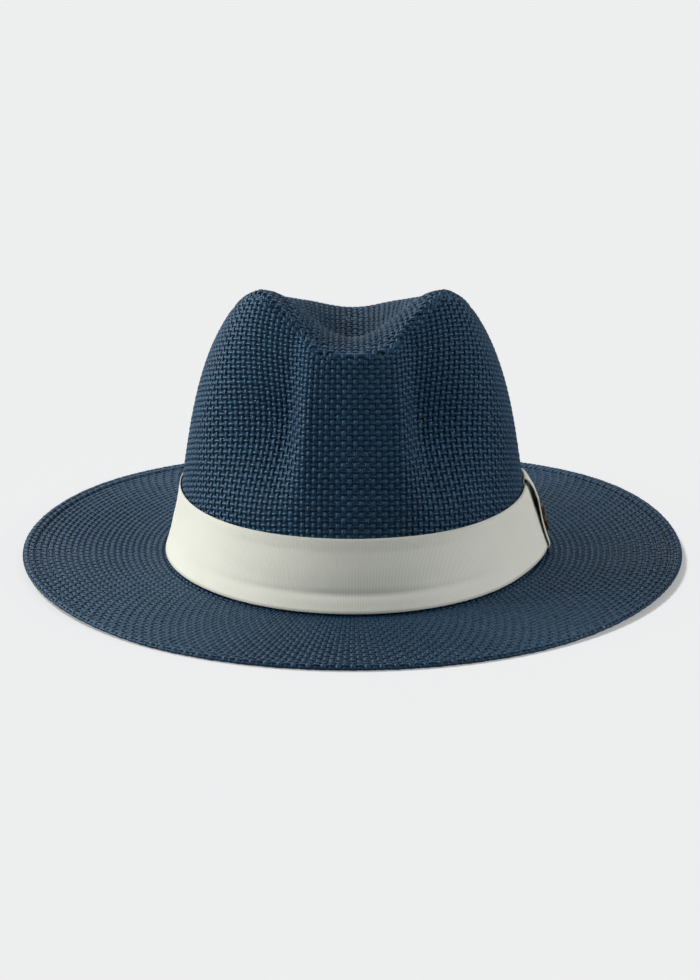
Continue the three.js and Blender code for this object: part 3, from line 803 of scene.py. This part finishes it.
@once
def ribbon_material(name, ribs, along):
    """Ivory grosgrain: ribs across the ribbon, a plain woven edge each side, and faint soiling."""
    m = Nodes(name)
    shade = tuple(colours().ribbon)
    uv = m.add("ShaderNodeUVMap", uv_map=STRAND_MAP).outputs["UV"]
    where = m.where()
    split = m.add("ShaderNodeSeparateXYZ", {"Vector": uv})
    run, width = split.outputs[along], split.outputs[1 - along]
    rib = m.maths("SINE", m.maths("MULTIPLY", run, ribs * 2 * math.pi))
    from_edge = m.maths("SUBTRACT", 0.5, m.maths("ABSOLUTE", m.maths("SUBTRACT", width, 0.5)))
    field = m.add("ShaderNodeMapRange", {"Value": from_edge, "From Min": 0.03, "From Max": 0.045}).outputs[0]
    thread = m.noise(m.stretched(where, (1.0, 1.0, 3.5)), 1500.0, 2.0)
    soft = m.noise(where, 28.0, 4.0)
    # Painted shade: the colour is darker in the grooves between the ribs; the same wave also bumps the ribs.
    rib_height_and_shade = m.maths("MULTIPLY", m.maths("MULTIPLY", m.maths("ADD", rib, 1.0), 0.5), field)
    level = m.maths("ADD", m.maths("MULTIPLY", rib_height_and_shade, 0.5), m.maths("MULTIPLY", thread, 0.25))
    level = m.maths("ADD", level, m.maths("MULTIPLY", soft, 0.35))
    m.colours(level, [(0.15, scaled(shade, 0.72)), (0.5, shade), (0.85, scaled(shade, 1.06))])
    m.finish(Roughness=0.72, Sheen_Weight=0.2, Sheen_Roughness=0.45)
    m.bump(m.maths("ADD", rib_height_and_shade, m.maths("MULTIPLY", thread, 0.5)), 0.00005)
    return m.material


@once
def tape_material():
    """Dark twill tape for the sweatband and the seam tapes."""
    m = Nodes("twill_tape")
    shade = tuple(colours().lining)
    where = m.where()
    turned = m.add("ShaderNodeMapping", {"Vector": where, "Rotation": (0.6, 0.5, 0.8)}).outputs["Vector"]
    twill = m.add("ShaderNodeTexWave", {"Vector": turned, "Scale": 520.0, "Distortion": 0.4}).outputs["Fac"]
    thread = m.noise(where, 1800.0, 2.0)
    level = m.maths("ADD", m.maths("MULTIPLY", twill, 0.6), m.maths("MULTIPLY", thread, 0.4))
    m.colours(level, [(0.2, scaled(shade, 0.7)), (0.8, scaled(shade, 1.8))])
    m.finish(Roughness=0.85, Sheen_Weight=0.25)
    m.bump(level, 0.00012)
    return m.material


@once
def thread_material():
    """Dark sewing thread with a fine twist."""
    m = Nodes("thread")
    shade = scaled(tuple(colours().lining), 2.2)
    where = m.where()
    twist = m.noise(where, 2600.0, 2.0)
    m.colours(twist, [(0.3, scaled(shade, 0.7)), (0.7, scaled(shade, 1.3))])
    m.finish(Roughness=0.55)
    m.bump(twist, 0.00004)
    return m.material


def label_material():
    """Plain satin label, with a fine thread pattern and no print."""
    m = Nodes("satin_label")
    shade = tuple(colours().label)
    where = m.where()
    thread = m.noise(m.stretched(where, (1.0, 1.0, 5.0)), 1600.0, 2.0)
    m.colours(thread, [(0.3, scaled(shade, 0.85)), (0.7, shade)])
    m.finish(Roughness=0.4)
    m.bump(thread, 0.00005)
    return m.material


def metal_material(name, shade, rough, wear):
    """Cast metal: patina in the hollows, brighter where it is rubbed, fine pits."""
    m = Nodes(name)
    where = m.where()
    patina = m.noise(where, 420.0, 4.0)
    pits = m.noise(where, 2600.0, 2.0)
    m.colours(patina, [
        (0.3, scaled(shade, 0.5)), (0.55, shade), (0.8, scaled(shade, wear))])
    m.plug(m.shader.inputs["Roughness"], m.maths("ADD", m.maths("MULTIPLY", pits, 0.3), rough))
    m.finish(Metallic=1.0)
    m.bump(m.maths("ADD", patina, pits), 0.00006)
    return m.material


def plastic_material(name, shade):
    """Coated wire: dark plastic with faint drawing lines."""
    m = Nodes(name)
    where = m.where()
    lines = m.noise(where, 900.0, 2.0)
    m.colours(lines, [(0.3, scaled(shade, 0.7)), (0.7, scaled(shade, 1.3))])
    m.finish(Roughness=0.5)
    m.bump(lines, 0.00005)
    return m.material


def floor_material():
    """Pale sweep: part of its brightness is its own, so that it stays plain, and part is the
    sun's, so that it takes a shadow. Under the crown its own part fades out."""
    m = Nodes("pale_sweep")
    where = m.where()
    grain = m.noise(where, 3.0, 2.0)
    m.colours(grain, [(0.0, (FLOOR_TONE,) * 3), (1.0, (FLOOR_TONE * 1.002,) * 3)])
    m.finish(Roughness=1.0, Specular_IOR_Level=0.0, Emission_Color=(1, 1, 1, 1))
    distance = m.add("ShaderNodeVectorMath", {0: where}, operation="LENGTH").outputs["Value"]
    # Painted shade under the hat: the floor's own glow falls to almost nothing inside the brim.
    glow_shaded_under_hat = m.add("ShaderNodeMapRange", {
        "Value": distance, "From Min": 0.108, "From Max": 0.14, "To Min": 0.02, "To Max": FLOOR_GLOW})
    m.plug(m.shader.inputs["Emission Strength"], glow_shaded_under_hat.outputs[0])
    return m.material


# ---------------------------------------------------------------- operators


WORLD = 0.188
LIGHTS = (
    ("softbox_left", (-1.3, -0.15, 0.5), 0.9, 21.0, (1.0, 1.0, 0.97)),
    ("softbox_left_back", (-1.1, 0.8, 0.6), 0.9, 6.2, (1.0, 1.0, 1.0)),
    ("softbox_right", (1.3, 0.05, 0.6), 0.9, 8.5, (1.0, 0.99, 1.0)),
    ("softbox_right_front", (0.95, -1.1, 0.5), 0.9, 5.2, (1.0, 1.0, 1.0)),
    ("softbox_back", (-0.2, 1.1, 0.95), 1.2, 5.4, (1.0, 1.0, 1.0)),
)


class FEDORA_OT_stage(bpy.types.Operator):
    """Lays the floor, lights the hat and sets the camera"""

    bl_idname = "fedora.stage"
    bl_label = "Stage"

    def execute(self, context):
        """Adds the floor, the lights, the world and the camera."""
        scene = context.scene
        scene.view_settings.view_transform = "Standard"
        scene.view_settings.look = "None"
        floor = new_mesh("floor", np.array([[-9, -6, 0], [9, -6, 0], [9, 12, 0], [-9, 12, 0]]) * 1.0,
                         np.array([[0, 1, 2, 3]]))
        floor.data.materials.append(floor_material())
        floor.visible_diffuse = False
        floor.visible_glossy = False
        world = bpy.data.worlds.new("studio")
        world.use_nodes = True
        background = world.node_tree.nodes["Background"]
        background.inputs["Color"].default_value = (0.93, 0.96, 1.0, 1)
        background.inputs["Strength"].default_value = WORLD
        scene.world = world
        unlit = bpy.data.collections.new("all_but_floor")
        unlit.objects.link(floor)
        unlit.collection_objects[0].light_linking.link_state = "EXCLUDE"
        only = bpy.data.collections.new("floor_only")
        only.objects.link(floor)
        height = math.radians(SUN_HEIGHT)
        sun = (FLOOR_LEVEL - FLOOR_GLOW - FLOOR_TONE * WORLD) * math.pi / (FLOOR_TONE * math.sin(height))
        sun_light("sun_left", height, sun, 15).light_linking.receiver_collection = only
        for name, place, size, power, shade in LIGHTS:
            light = area_light(name, place, (0, 0, 0.06), size, power, shade)
            light.light_linking.receiver_collection = unlit
        camera_at(scene, CAMERA_REACH, CAMERA_RISE, CAMERA_AIM, CAMERA_SHIFT)
        return {"FINISHED"}


def sun_light(name, height, strength, spread):
    """A soft sun from the left at an angle above the floor, with its width in degrees."""
    data = bpy.data.lights.new(name, "SUN")
    data.energy = strength
    data.angle = math.radians(spread)
    light = bpy.data.objects.new(name, data)
    light.rotation_euler = (0, height - math.pi / 2, 0)
    bpy.context.scene.collection.objects.link(light)
    return light


def area_light(name, place, target, size, power, shade):
    """A square soft light that looks at a point."""
    data = bpy.data.lights.new(name, "AREA")
    data.size = size
    data.energy = power
    data.color = shade
    light = bpy.data.objects.new(name, data)
    light.location = place
    light.rotation_euler = (Vector(target) - Vector(place)).to_track_quat("-Z", "Y").to_euler()
    bpy.context.scene.collection.objects.link(light)
    return light


def camera_at(scene, reach, elevation, aim, shift):
    """A camera in front of the hat, raised by an angle, looking at a height above the floor."""
    data = bpy.data.cameras.new("camera")
    data.sensor_width = 36
    data.lens = LENS
    camera = bpy.data.objects.new("camera", data)
    e = math.radians(elevation)
    camera.location = (shift, -reach * math.cos(e), aim + reach * math.sin(e))
    camera.rotation_euler = (math.pi / 2 - e, 0, 0)
    scene.collection.objects.link(camera)
    scene.camera = camera


def centred(count, pitch):
    """Evenly spaced places, an even number of them, centred on 0."""
    return (np.arange(count) - (count - 1) / 2) * pitch


class FEDORA_OT_crown_wall(bpy.types.Operator):
    """Weaves the wall of the crown"""

    bl_idname = "fedora.crown_wall"
    bl_label = "Crown wall"

    def execute(self, context):
        """Weaves upright and level strands over the wall's flat pattern, each set in two pieces."""
        size = sizes()
        cloth = WallPattern()
        up, row = size.upright_pitch, size.row_pitch
        columns = 2 * int(cloth.half / up) + 4
        first = -4 * row
        rows = int((cloth.top + 4 * MM - first) / row)
        xs = centred(columns, up)
        ys = first + row * np.arange(rows)
        for part in (0, 1):
            order = np.arange(columns)[part::2]
            strand = size.crown_strand
            uprights = weave(cloth, xs[part::2], order, (first, rows, row), UPRIGHT_FILL, strand, True,
                             seed=11 + part)
            order = np.arange(rows)[part::2] + 1
            level = weave(cloth, ys[part::2], order, (xs[0], columns, up), ROW_FILL, strand, False,
                          seed=21 + part)
            for name, made in (("uprights", uprights), ("rows", level)):
                name = f"crown_wall_{name}_{'ab'[part]}"
                piece = strand_object(name, made, straw_material())
                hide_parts("crown_wall")
        return {"FINISHED"}


class FEDORA_OT_crown_tip(bpy.types.Operator):
    """Weaves the tip of the crown"""

    bl_idname = "fedora.crown_tip"
    bl_label = "Crown tip"

    def execute(self, context):
        """Weaves strands along and across over the tip's flat pattern."""
        size = sizes()
        cloth = TipPattern()
        up, row = size.upright_pitch, size.row_pitch
        columns = 2 * int(cloth.arc_x.max() / up) + 2
        rows = 2 * int(cloth.arc_y.max() / row) + 6
        xs, ys = centred(columns, up), centred(rows, row)
        strand = size.crown_strand
        order = np.arange(columns)
        along = weave(cloth, xs, order, (ys[0], rows, row), TIP_FILL, strand, True, seed=31)
        order = np.arange(rows) + 1
        across = weave(cloth, ys, order, (xs[0], columns, up), ROW_FILL, strand, False, seed=32)
        for name, made in (("crown_tip_long", along), ("crown_tip_cross", across)):
            piece = strand_object(name, made, straw_material())
            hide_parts("crown_tip")
        return {"FINISHED"}


class FEDORA_OT_brim(bpy.types.Operator):
    """Weaves the brim's two plies"""

    bl_idname = "fedora.brim"
    bl_label = "Brim"

    def execute(self, context):
        """Weaves rings and spokes for the upper ply, which turns over the edge, and the lower ply."""
        size = sizes()
        ring, spokes = size.ring_pitch, size.spokes
        step = 2 * np.pi / spokes
        angles = step * np.arange(spokes)
        for upper, name, samples in ((True, "brim_upper_ply", 3), (False, "brim_lower_ply", 2)):
            cloth = BrimPattern(upper)
            rings = int((BRIM_WIDTH + 5 * MM) / ring) + 1
            outs = ring * (np.arange(rings) - 0.25)
            seed = 41 if upper else 51
            for part in (0, 1):
                order = np.arange(spokes)[part::2]
                strand = size.brim_strand
                radial = weave(cloth, angles[part::2], order, (outs[0], rings, ring), SPOKE_FILL, strand,
                               True, seed=seed + part, samples=samples)
                order = np.arange(rings)[part::2] + 1
                round_it = weave(cloth, outs[part::2], order, (0.0, spokes, step), RING_FILL, strand,
                                 False, closed=True, seed=seed + 4 + part, samples=samples)
                for kind, made in (("spokes", radial), ("rings", round_it)):
                    label = f"{name}_{kind}_{'ab'[part]}"
                    piece = strand_object(label, made, straw_material())
                    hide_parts(name)
        return {"FINISHED"}


KEEPER_AT = math.asin((KEEPER_LOW[1] + KEEPER_HIGH[1]) / 2 / FOOT_Y)
KEEPER_HALF = (KEEPER_HIGH[1] - KEEPER_LOW[1]) / 2 / FOOT_Y
BRIM_FACE = 2.45 * MM


def keeper_pull(t):
    """How much the keeper lifts the band off the crown: a bell round the keeper's middle."""
    return bump(((t - KEEPER_AT + np.pi) % (2 * np.pi) - np.pi) / math.radians(34))


def band_away(t, h):
    """Distance of the ribbon's outer face from the wall, h being 0 at its foot and 1 at its top.

    The lowest quarter turns out over the root of the brim from a crease, the field above it
    bellies a little, and near the keeper the whole band is pulled off the wall.
    """
    front = bump(from_front(t) / 62)
    reach = 0.62 - 0.35 * front
    flare = 2.1 * MM * np.clip((reach - h) / reach, 0, 1) ** 1.25
    belly = (0.3 + 0.3 * front) * MM * bump((h - 0.52) / 0.34)
    crease = 1.1 * MM * bump((h - 0.24) / 0.075) * front
    faint = 0.3 * MM * bump((h - 0.82) / 0.06) * (0.6 + 0.4 * np.sin(5 * t)) * front
    slack = 0.12 * MM * np.sin(4 * t + 3 * h) + 0.08 * MM * np.sin(9 * t + 1.7)
    pull = 4.3 * MM * keeper_pull(t) * np.clip(1 - h, 0, 1) ** 0.5
    return 0.95 * MM + flare + belly - crease - faint + slack * (1 - h) + pull


def cloth_skin(middle, thick, rib=None, closed_u=True, closed_v=False):
    """The two faces of a cloth from the grid of its middle: half the thickness along the normal,
    which is the cross product of the grid's two directions, plus the ribs on the front."""
    along_u = np.roll(middle, -1, 0) - np.roll(middle, 1, 0) if closed_u else np.gradient(middle, axis=0)
    along_v = np.roll(middle, -1, 1) - np.roll(middle, 1, 1) if closed_v else np.gradient(middle, axis=1)
    normal = unit(np.cross(along_u, along_v))
    raised = thick / 2 + (0 if rib is None else rib)
    return middle + normal * np.asarray(raised)[..., None], middle - normal * (thick / 2)


def loop_line(keys, count, blur):
    """Closed line through key points, evenly spaced, its corners rounded by averaging."""
    keys = np.array([*keys, keys[0]], dtype=float)
    steps = np.linalg.norm(np.diff(keys, axis=0), axis=1)
    run = np.concatenate([[0], np.cumsum(steps)])
    at = np.linspace(0, run[-1], count, endpoint=False)
    line = np.stack([np.interp(at, run, keys[:, i]) for i in range(keys.shape[1])], axis=-1)
    reach = int(3 * blur * count / run[-1]) + 1
    share = np.exp(-0.5 * (np.arange(-reach, reach + 1) * run[-1] / count / blur) ** 2)
    total = sum(w * np.roll(line, k, axis=0) for k, w in zip(range(-reach, reach + 1), share))
    return total / share.sum(), run[-1]


def alternate(count):
    """1, -1, 1, -1 and so on."""
    return np.where(np.arange(count) % 2, 1.0, -1.0)


class FEDORA_OT_ribbon(bpy.types.Operator):
    """Wraps the ribbon round the crown and the keeper round the ribbon"""

    bl_idname = "fedora.ribbon"
    bl_label = "Ribbon"

    def execute(self, context):
        """Builds the band and the keeper with their ribs."""
        self.band()
        self.keeper()
        return {"FINISHED"}

    def band(self):
        """The band: a strip round the crown whose ribs stand upright."""
        size = sizes()
        cloth = size.ribbon_cloth
        length = 2 * np.pi * math.sqrt((FOOT_X**2 + FOOT_Y**2) / 2)
        ribs = int(length / size.rib_pitch)
        u = np.linspace(0, 2 * np.pi, 2 * ribs, endpoint=False)
        h = np.linspace(0, 1, 26)
        t, share = np.meshgrid(u, h, indexing="ij")
        low = BRIM_FACE + 0.8 * MM * keeper_pull(t)
        z = low + (BAND_TOP - low) * share
        edge = ease(np.minimum(share, 1 - share) / 0.05)
        ridge = 0.035 * MM * alternate(2 * ribs)[:, None] * edge
        middle = off_wall(t, z, band_away(t, share) - cloth / 2)
        outer, inner = cloth_skin(middle, cloth, ridge)
        band = grid_object("ribbon_band_made", outer, inner, ribbon_material("grosgrain", ribs, 0))
        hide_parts("ribbon_band")

    def keeper(self):
        """The keeper: a loop of ribbon round the band, its front layer standing off and its lower
        corner folded sharply on the brim."""
        size = sizes()
        cloth = size.ribbon_cloth
        top = BAND_TOP + 3.0 * MM
        foot = BRIM_FACE + 0.3 * MM
        keys = np.array([
            (0.9, top / MM), (2.8, top / MM - 1.2), (5.2, top / MM - 5.6), (6.7, top / MM - 11.5),
            (7.2, 15.5), (8.0, 9.5), (9.1, foot / MM + 1.2), (8.9, foot / MM + 0.1),
            (4.5, foot / MM), (0.6, foot / MM + 0.4), (0.35, 8.0), (0.35, top / MM - 1.2),
        ]) * MM
        line, length = loop_line(keys, 2 * int(150 * MM / size.rib_pitch / 2), 0.8 * MM)
        count = len(line)
        w = np.linspace(0, 1, 22)
        t = KEEPER_AT + KEEPER_HALF * (2 * w - 1)
        away, z = line[::-1, 0][:, None] + 0 * w, line[::-1, 1][:, None] + 0 * w
        stand = 1 - 0.1 * (2 * w - 1) ** 2 - 0.35 * w
        middle = off_wall(t[None, :] + 0 * z, z, away * stand)
        middle = middle[::-1]
        edge = ease(np.minimum(w, 1 - w) / 0.05)
        ridge = 0.035 * MM * alternate(count)[:, None] * edge
        outer, inner = cloth_skin(middle, cloth, ridge)
        if self.points_in(outer, inner):
            middle = middle[::-1]
            outer, inner = cloth_skin(middle, cloth, ridge)
        ribbon = ribbon_material("grosgrain_keeper", count / 2, 0)
        keeper = grid_object("ribbon_keeper_made", outer, inner, ribbon)
        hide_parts("ribbon_keeper")

    def points_in(self, outer, inner):
        """True if the outer faces lie nearer the loop's middle than the inner ones."""
        middle = (outer + inner).mean(axis=(0, 1)) / 2
        return np.linalg.norm(outer - middle, axis=-1).mean() < np.linalg.norm(inner - middle, axis=-1).mean()


def stitches(name, path, out, length, thick, material):
    """A row of raised thread stitches: each is a short bowed tube from one point of the path
    towards the next, its ends sunk in the cloth."""
    ahead = np.roll(path, -1, axis=0) - path
    share = np.linspace(0, 1, 5)
    bow = np.sin(share * np.pi)
    line = path[:, None, :] + ahead[:, None, :] * (share * length)[None, :, None]
    line = line + out[:, None, :] * (bow * thick * 1.1 - thick * 0.5)[None, :, None]
    side = unit(np.cross(out, ahead))[:, None, :] + 0 * line
    width = thick * (0.55 + 0.35 * bow)[None, :] + 0 * line[..., 0]
    made = strand_mesh(line, side, width, width * 0.8, np.ones(line.shape[:2], bool), False)
    vertices, faces = made[:2]
    piece = new_mesh(name, vertices, faces)
    set_map(piece, BAKE_MAP, *bake_cells(faces, made))
    finish_piece(piece, material)
    return piece


def bake_cells(faces, made):
    """A map that gives each tube its own strip, for tubes of one length."""
    strand, sample, corner = made[2:]
    loops = faces.ravel()
    count, samples = strand.max() + 1, sample.max() + 1
    u = (sample[loops] + 0.2 * (corner[loops] % 2)) / samples
    v = (strand[loops] + 0.15 + 0.2 * corner[loops]) / count
    return u, v


class FEDORA_OT_lining(bpy.types.Operator):
    """Fits the sweatband, the tapes and the label"""

    bl_idname = "fedora.lining"
    bl_label = "Lining"

    def execute(self, context):
        """Builds the sweatband, the tip's tape, the back tape and the blank label."""
        self.sweatband()
        self.tip_tape()
        self.back_tape()
        self.label()
        return {"FINISHED"}

    def sweatband(self):
        """The sweatband: a strip inside the crown's foot, sewn at its lower edge, its upper edge
        free and a little wavy, with a turned hem at the top."""
        t = np.linspace(0, 2 * np.pi, 420, endpoint=False)
        h = np.concatenate([np.linspace(0, 0.84, 12), np.linspace(0.87, 1, 6)])
        turn, share = np.meshgrid(t, h, indexing="ij")
        low, high = SWEAT_LOW[2], SWEAT_HIGH[2]
        wave = 0.45 * MM * np.sin(7 * turn + 1) + 0.3 * MM * np.sin(13 * turn)
        hem = 0.3 * MM * ease((share - 0.85) / 0.02)
        away = -(2.3 * MM + (0.6 * MM + wave) * share**2) - hem
        middle = off_wall(turn, low + (high - low) * share, away)
        outer, inner = cloth_skin(middle, 0.8 * MM)
        piece = grid_object("sweatband_made", outer, inner, tape_material())
        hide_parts("sweatband")
        t = np.linspace(0, 2 * np.pi, 170, endpoint=False)
        sewn = (("sweatband_stitches", low + 3 * MM, 2.75), ("sweatband_hem_stitches", None, 3.9))
        for name, z, depth in sewn:
            height = z if z is not None else low + (high - low) * 0.84
            wave = 0 * t if z is not None else (0.45 * np.sin(7 * t + 1) + 0.3 * np.sin(13 * t)) * 0.7
            path = off_wall(t, height + 0 * t, -(depth + wave) * MM)
            inwards = -wall_normal(t, wall_share(t, height + 0 * t))
            stitches(name, path, inwards, 0.72, 0.3 * MM, thread_material())

    def tip_tape(self):
        """The tape over the tip's seam allowance: part on the wall, part on the tip, and a bridge."""
        t = np.linspace(0, 2 * np.pi, 300, endpoint=False)
        parts = []
        inner_run = np.linspace(6.2, 1.8, 5) * MM
        for reach in inner_run:
            share = 1 - reach / 130 / MM
            parts.append(wall(t, share + 0 * t) - wall_normal(t, share + 0 * t) * (2.3 * MM))
        for reach in inner_run[::-1]:
            near = 1 - reach / TIP_X
            seam = tip_seam(t)
            x, y = seam[:, 0] * near, (seam[:, 1] - TIP_SETBACK) * near + TIP_SETBACK
            parts.append(stack(x, y, top_height(x, y)) - tip_normal(x, y) * (2.3 * MM))
        middle = np.stack(parts, axis=1)
        middle[:, 4:6] = middle[:, 4:6] * 0.6 + 0.4 * (middle[:, 3:4] + middle[:, 6:7]) / 2
        outer, inner = cloth_skin(middle, 0.4 * MM)
        piece = grid_object("tip_seam_tape_made", outer, inner, tape_material())
        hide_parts("tip_seam_tape")
        widths = np.linalg.norm(np.diff(middle, axis=1), axis=2).sum(axis=1).mean()

    def back_tape(self):
        """The tape over the back seam, from the sweatband to the tip's tape."""
        low, high = node_box("back_seam_tape")
        half = (high[0] - low[0]) / 2
        x, z = np.meshgrid(np.linspace(half, -half, 9), np.linspace(low[2], high[2], 60), indexing="ij")
        t = np.pi / 2 - x / FOOT_X
        edge = 0.15 * MM * (1 - ease((half - np.abs(x)) / (1.2 * MM)))
        middle = off_wall(t, z, -(2.2 * MM + edge))
        outer, inner = cloth_skin(middle, 0.4 * MM, closed_u=False)
        piece = grid_object("back_seam_tape_made", outer, inner, tape_material(), closed_u=False)
        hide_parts("back_seam_tape")
        length = np.linalg.norm(np.diff(middle[4], axis=0), axis=1).sum()
        for side in (-1, 1):
            z = np.linspace(low[2] + 2 * MM, high[2] - 2 * MM, 24)
            t = np.pi / 2 - side * (half - 1.6 * MM) / FOOT_X + 0 * z
            path = off_wall(t, z, -2.45 * MM + 0 * z)
            path = np.concatenate([path, path[-1:] + (path[-1] - path[-2])])
            inwards = -wall_normal(t, wall_share(t, z))
            name = "back_tape_stitches_" + ("left" if side < 0 else "right")
            stitches(name, path[:-1], inwards, 0.7, 0.28 * MM, thread_material())

    def label(self):
        """A blank woven label on the sweatband at the back, its lower edge free."""
        low, high = node_box("size_label")
        half = (high[0] - low[0]) / 2
        x, z = np.meshgrid(np.linspace(half, -half, 15), np.linspace(low[2], high[2], 12), indexing="ij")
        share = (z - low[2]) / (high[2] - low[2])
        t = np.pi / 2 - x / FOOT_X
        curl = 0.7 * MM * (1 - share) ** 2 * (1 + 0.4 * np.sin(x / half * 2))
        middle = off_wall(t, z, -(4.0 * MM + curl))
        outer, inner = cloth_skin(middle, 0.35 * MM, closed_u=False)
        piece = grid_object("size_label_made", outer, inner, label_material(), closed_u=False)
        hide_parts("size_label")


def tip_normal(x, y):
    """Upward unit normal of the crown's top."""
    e = 0.1 * MM
    slope_x = (top_height(x + e, y) - top_height(x - e, y)) / (2 * e)
    slope_y = (top_height(x, y + e) - top_height(x, y - e)) / (2 * e)
    return unit(stack(-slope_x, -slope_y, 1 + 0 * x))


class FEDORA_OT_hardware(bpy.types.Operator):
    """Finishes the badge, the edge wire and its joiner"""

    bl_idname = "fedora.hardware"
    bl_label = "Hardware"

    def execute(self, context):
        """Turns the badge and gives the other metal and the wire their materials."""
        bronze = metal_material("antique_bronze", tuple(colours().bronze), 0.3, 2.2)
        self.badge(bronze)
        set_material(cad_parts["badge_backplate"], bronze)
        joiner = metal_material("joiner_metal", (0.55, 0.55, 0.53), 0.35, 1.2)
        set_material(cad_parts["wire_joiner"], joiner)
        set_material(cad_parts["brim_edge_wire"], plastic_material("wire_coating", (0.02, 0.02, 0.022)))
        return {"FINISHED"}

    def badge(self, material):
        """The badge: a turned disc with a raised rim, a ring of beads, a domed middle and a post."""
        angle = np.linspace(0, 2 * np.pi, 192, endpoint=False)
        share = np.concatenate([np.linspace(0, 0.7, 10), np.linspace(0.72, 0.9, 10), np.linspace(0.92, 1, 5)])
        radius = 6.1 * MM
        r = radius * share
        dome = 0.55 * MM * np.clip(1 - (share / 0.68) ** 2, 0, 1) + 1.35 * MM
        rim = 0.45 * MM * ease((share - 0.9) / 0.03) * (1 - ease((share - 0.96) / 0.05))
        bead_at = bump((share - 0.81) / 0.085)
        beads = 0.34 * MM * bead_at[None, :] * np.abs(np.cos(16 * angle))[:, None]
        face = dome + rim - 0.2 * MM * ease((share - 0.97) / 0.03)
        height = face[None, :] + beads
        x = r[None, :] * np.cos(angle)[:, None]
        y = r[None, :] * np.sin(angle)[:, None]
        at, z = np.array([KEEPER_AT]), np.array([14.2 * MM])
        place = off_wall(at, z, np.array([6.5 * MM]))[0]
        tilt = unit(wall_normal(at, wall_share(at, z))[0] + np.array([0, 0, 0.06]))
        level = unit(np.cross([0.0, 0.0, 1.0], tilt))
        disc = place + x[..., None] * level + y[..., None] * np.cross(tilt, level)
        front, back = disc + height[..., None] * tilt, disc + 0 * tilt
        piece = grid_object("badge_cap_made", front, back, material)
        merge_doubles(piece)
        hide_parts("badge_cap")


def merge_doubles(piece):
    """Joins the points that coincide at a pole."""
    mesh = bmesh.new()
    mesh.from_mesh(piece.data)
    bmesh.ops.remove_doubles(mesh, verts=mesh.verts, dist=1e-6)
    mesh.to_mesh(piece.data)
    mesh.free()


def set_material(node, material):
    """Puts a material on every slot of a frame node's object."""
    for place in node.material_slots:
        place.material = material
    if not node.material_slots:
        node.data.materials.append(material)


class FEDORA_PT_panel(bpy.types.Panel):
    """Lists the hat's pieces and sizes"""

    bl_idname = "FEDORA_PT_panel"
    bl_label = "Fedora"
    bl_space_type = "VIEW_3D"
    bl_region_type = "UI"
    bl_category = "Fedora"

    def draw(self, context):
        """A button for each operator, then the sizes and colours."""
        for operator in OPERATORS:
            self.layout.operator(operator.bl_idname)
        for group in (context.scene.fedora_sizes, context.scene.fedora_colours):
            for name in group.bl_rna.properties.keys():
                if name not in ("rna_type", "name"):
                    self.layout.prop(group, name)


OPERATORS = (
    FEDORA_OT_stage,
    FEDORA_OT_crown_wall,
    FEDORA_OT_crown_tip,
    FEDORA_OT_brim,
    FEDORA_OT_ribbon,
    FEDORA_OT_lining,
    FEDORA_OT_hardware,
)
CLASSES = (FedoraSizes, FedoraColours, *OPERATORS, FEDORA_PT_panel)


def register():
    """Registers the classes and the scene's properties."""
    for item in CLASSES:
        bpy.utils.register_class(item)
    bpy.types.Scene.fedora_sizes = bpy.props.PointerProperty(type=FedoraSizes)
    bpy.types.Scene.fedora_colours = bpy.props.PointerProperty(type=FedoraColours)


def unregister():
    """Takes them away again."""
    del bpy.types.Scene.fedora_colours
    del bpy.types.Scene.fedora_sizes
    for item in reversed(CLASSES):
        bpy.utils.unregister_class(item)


def main():
    """Builds the hat in order and writes the frame's box and the visual model's."""
    register()
    bpy.ops.fedora.stage()
    bpy.ops.fedora.crown_wall()
    bpy.ops.fedora.crown_tip()
    bpy.ops.fedora.brim()
    bpy.ops.fedora.ribbon()
    bpy.ops.fedora.lining()
    bpy.ops.fedora.hardware()


if __name__ == "__main__":
    main()
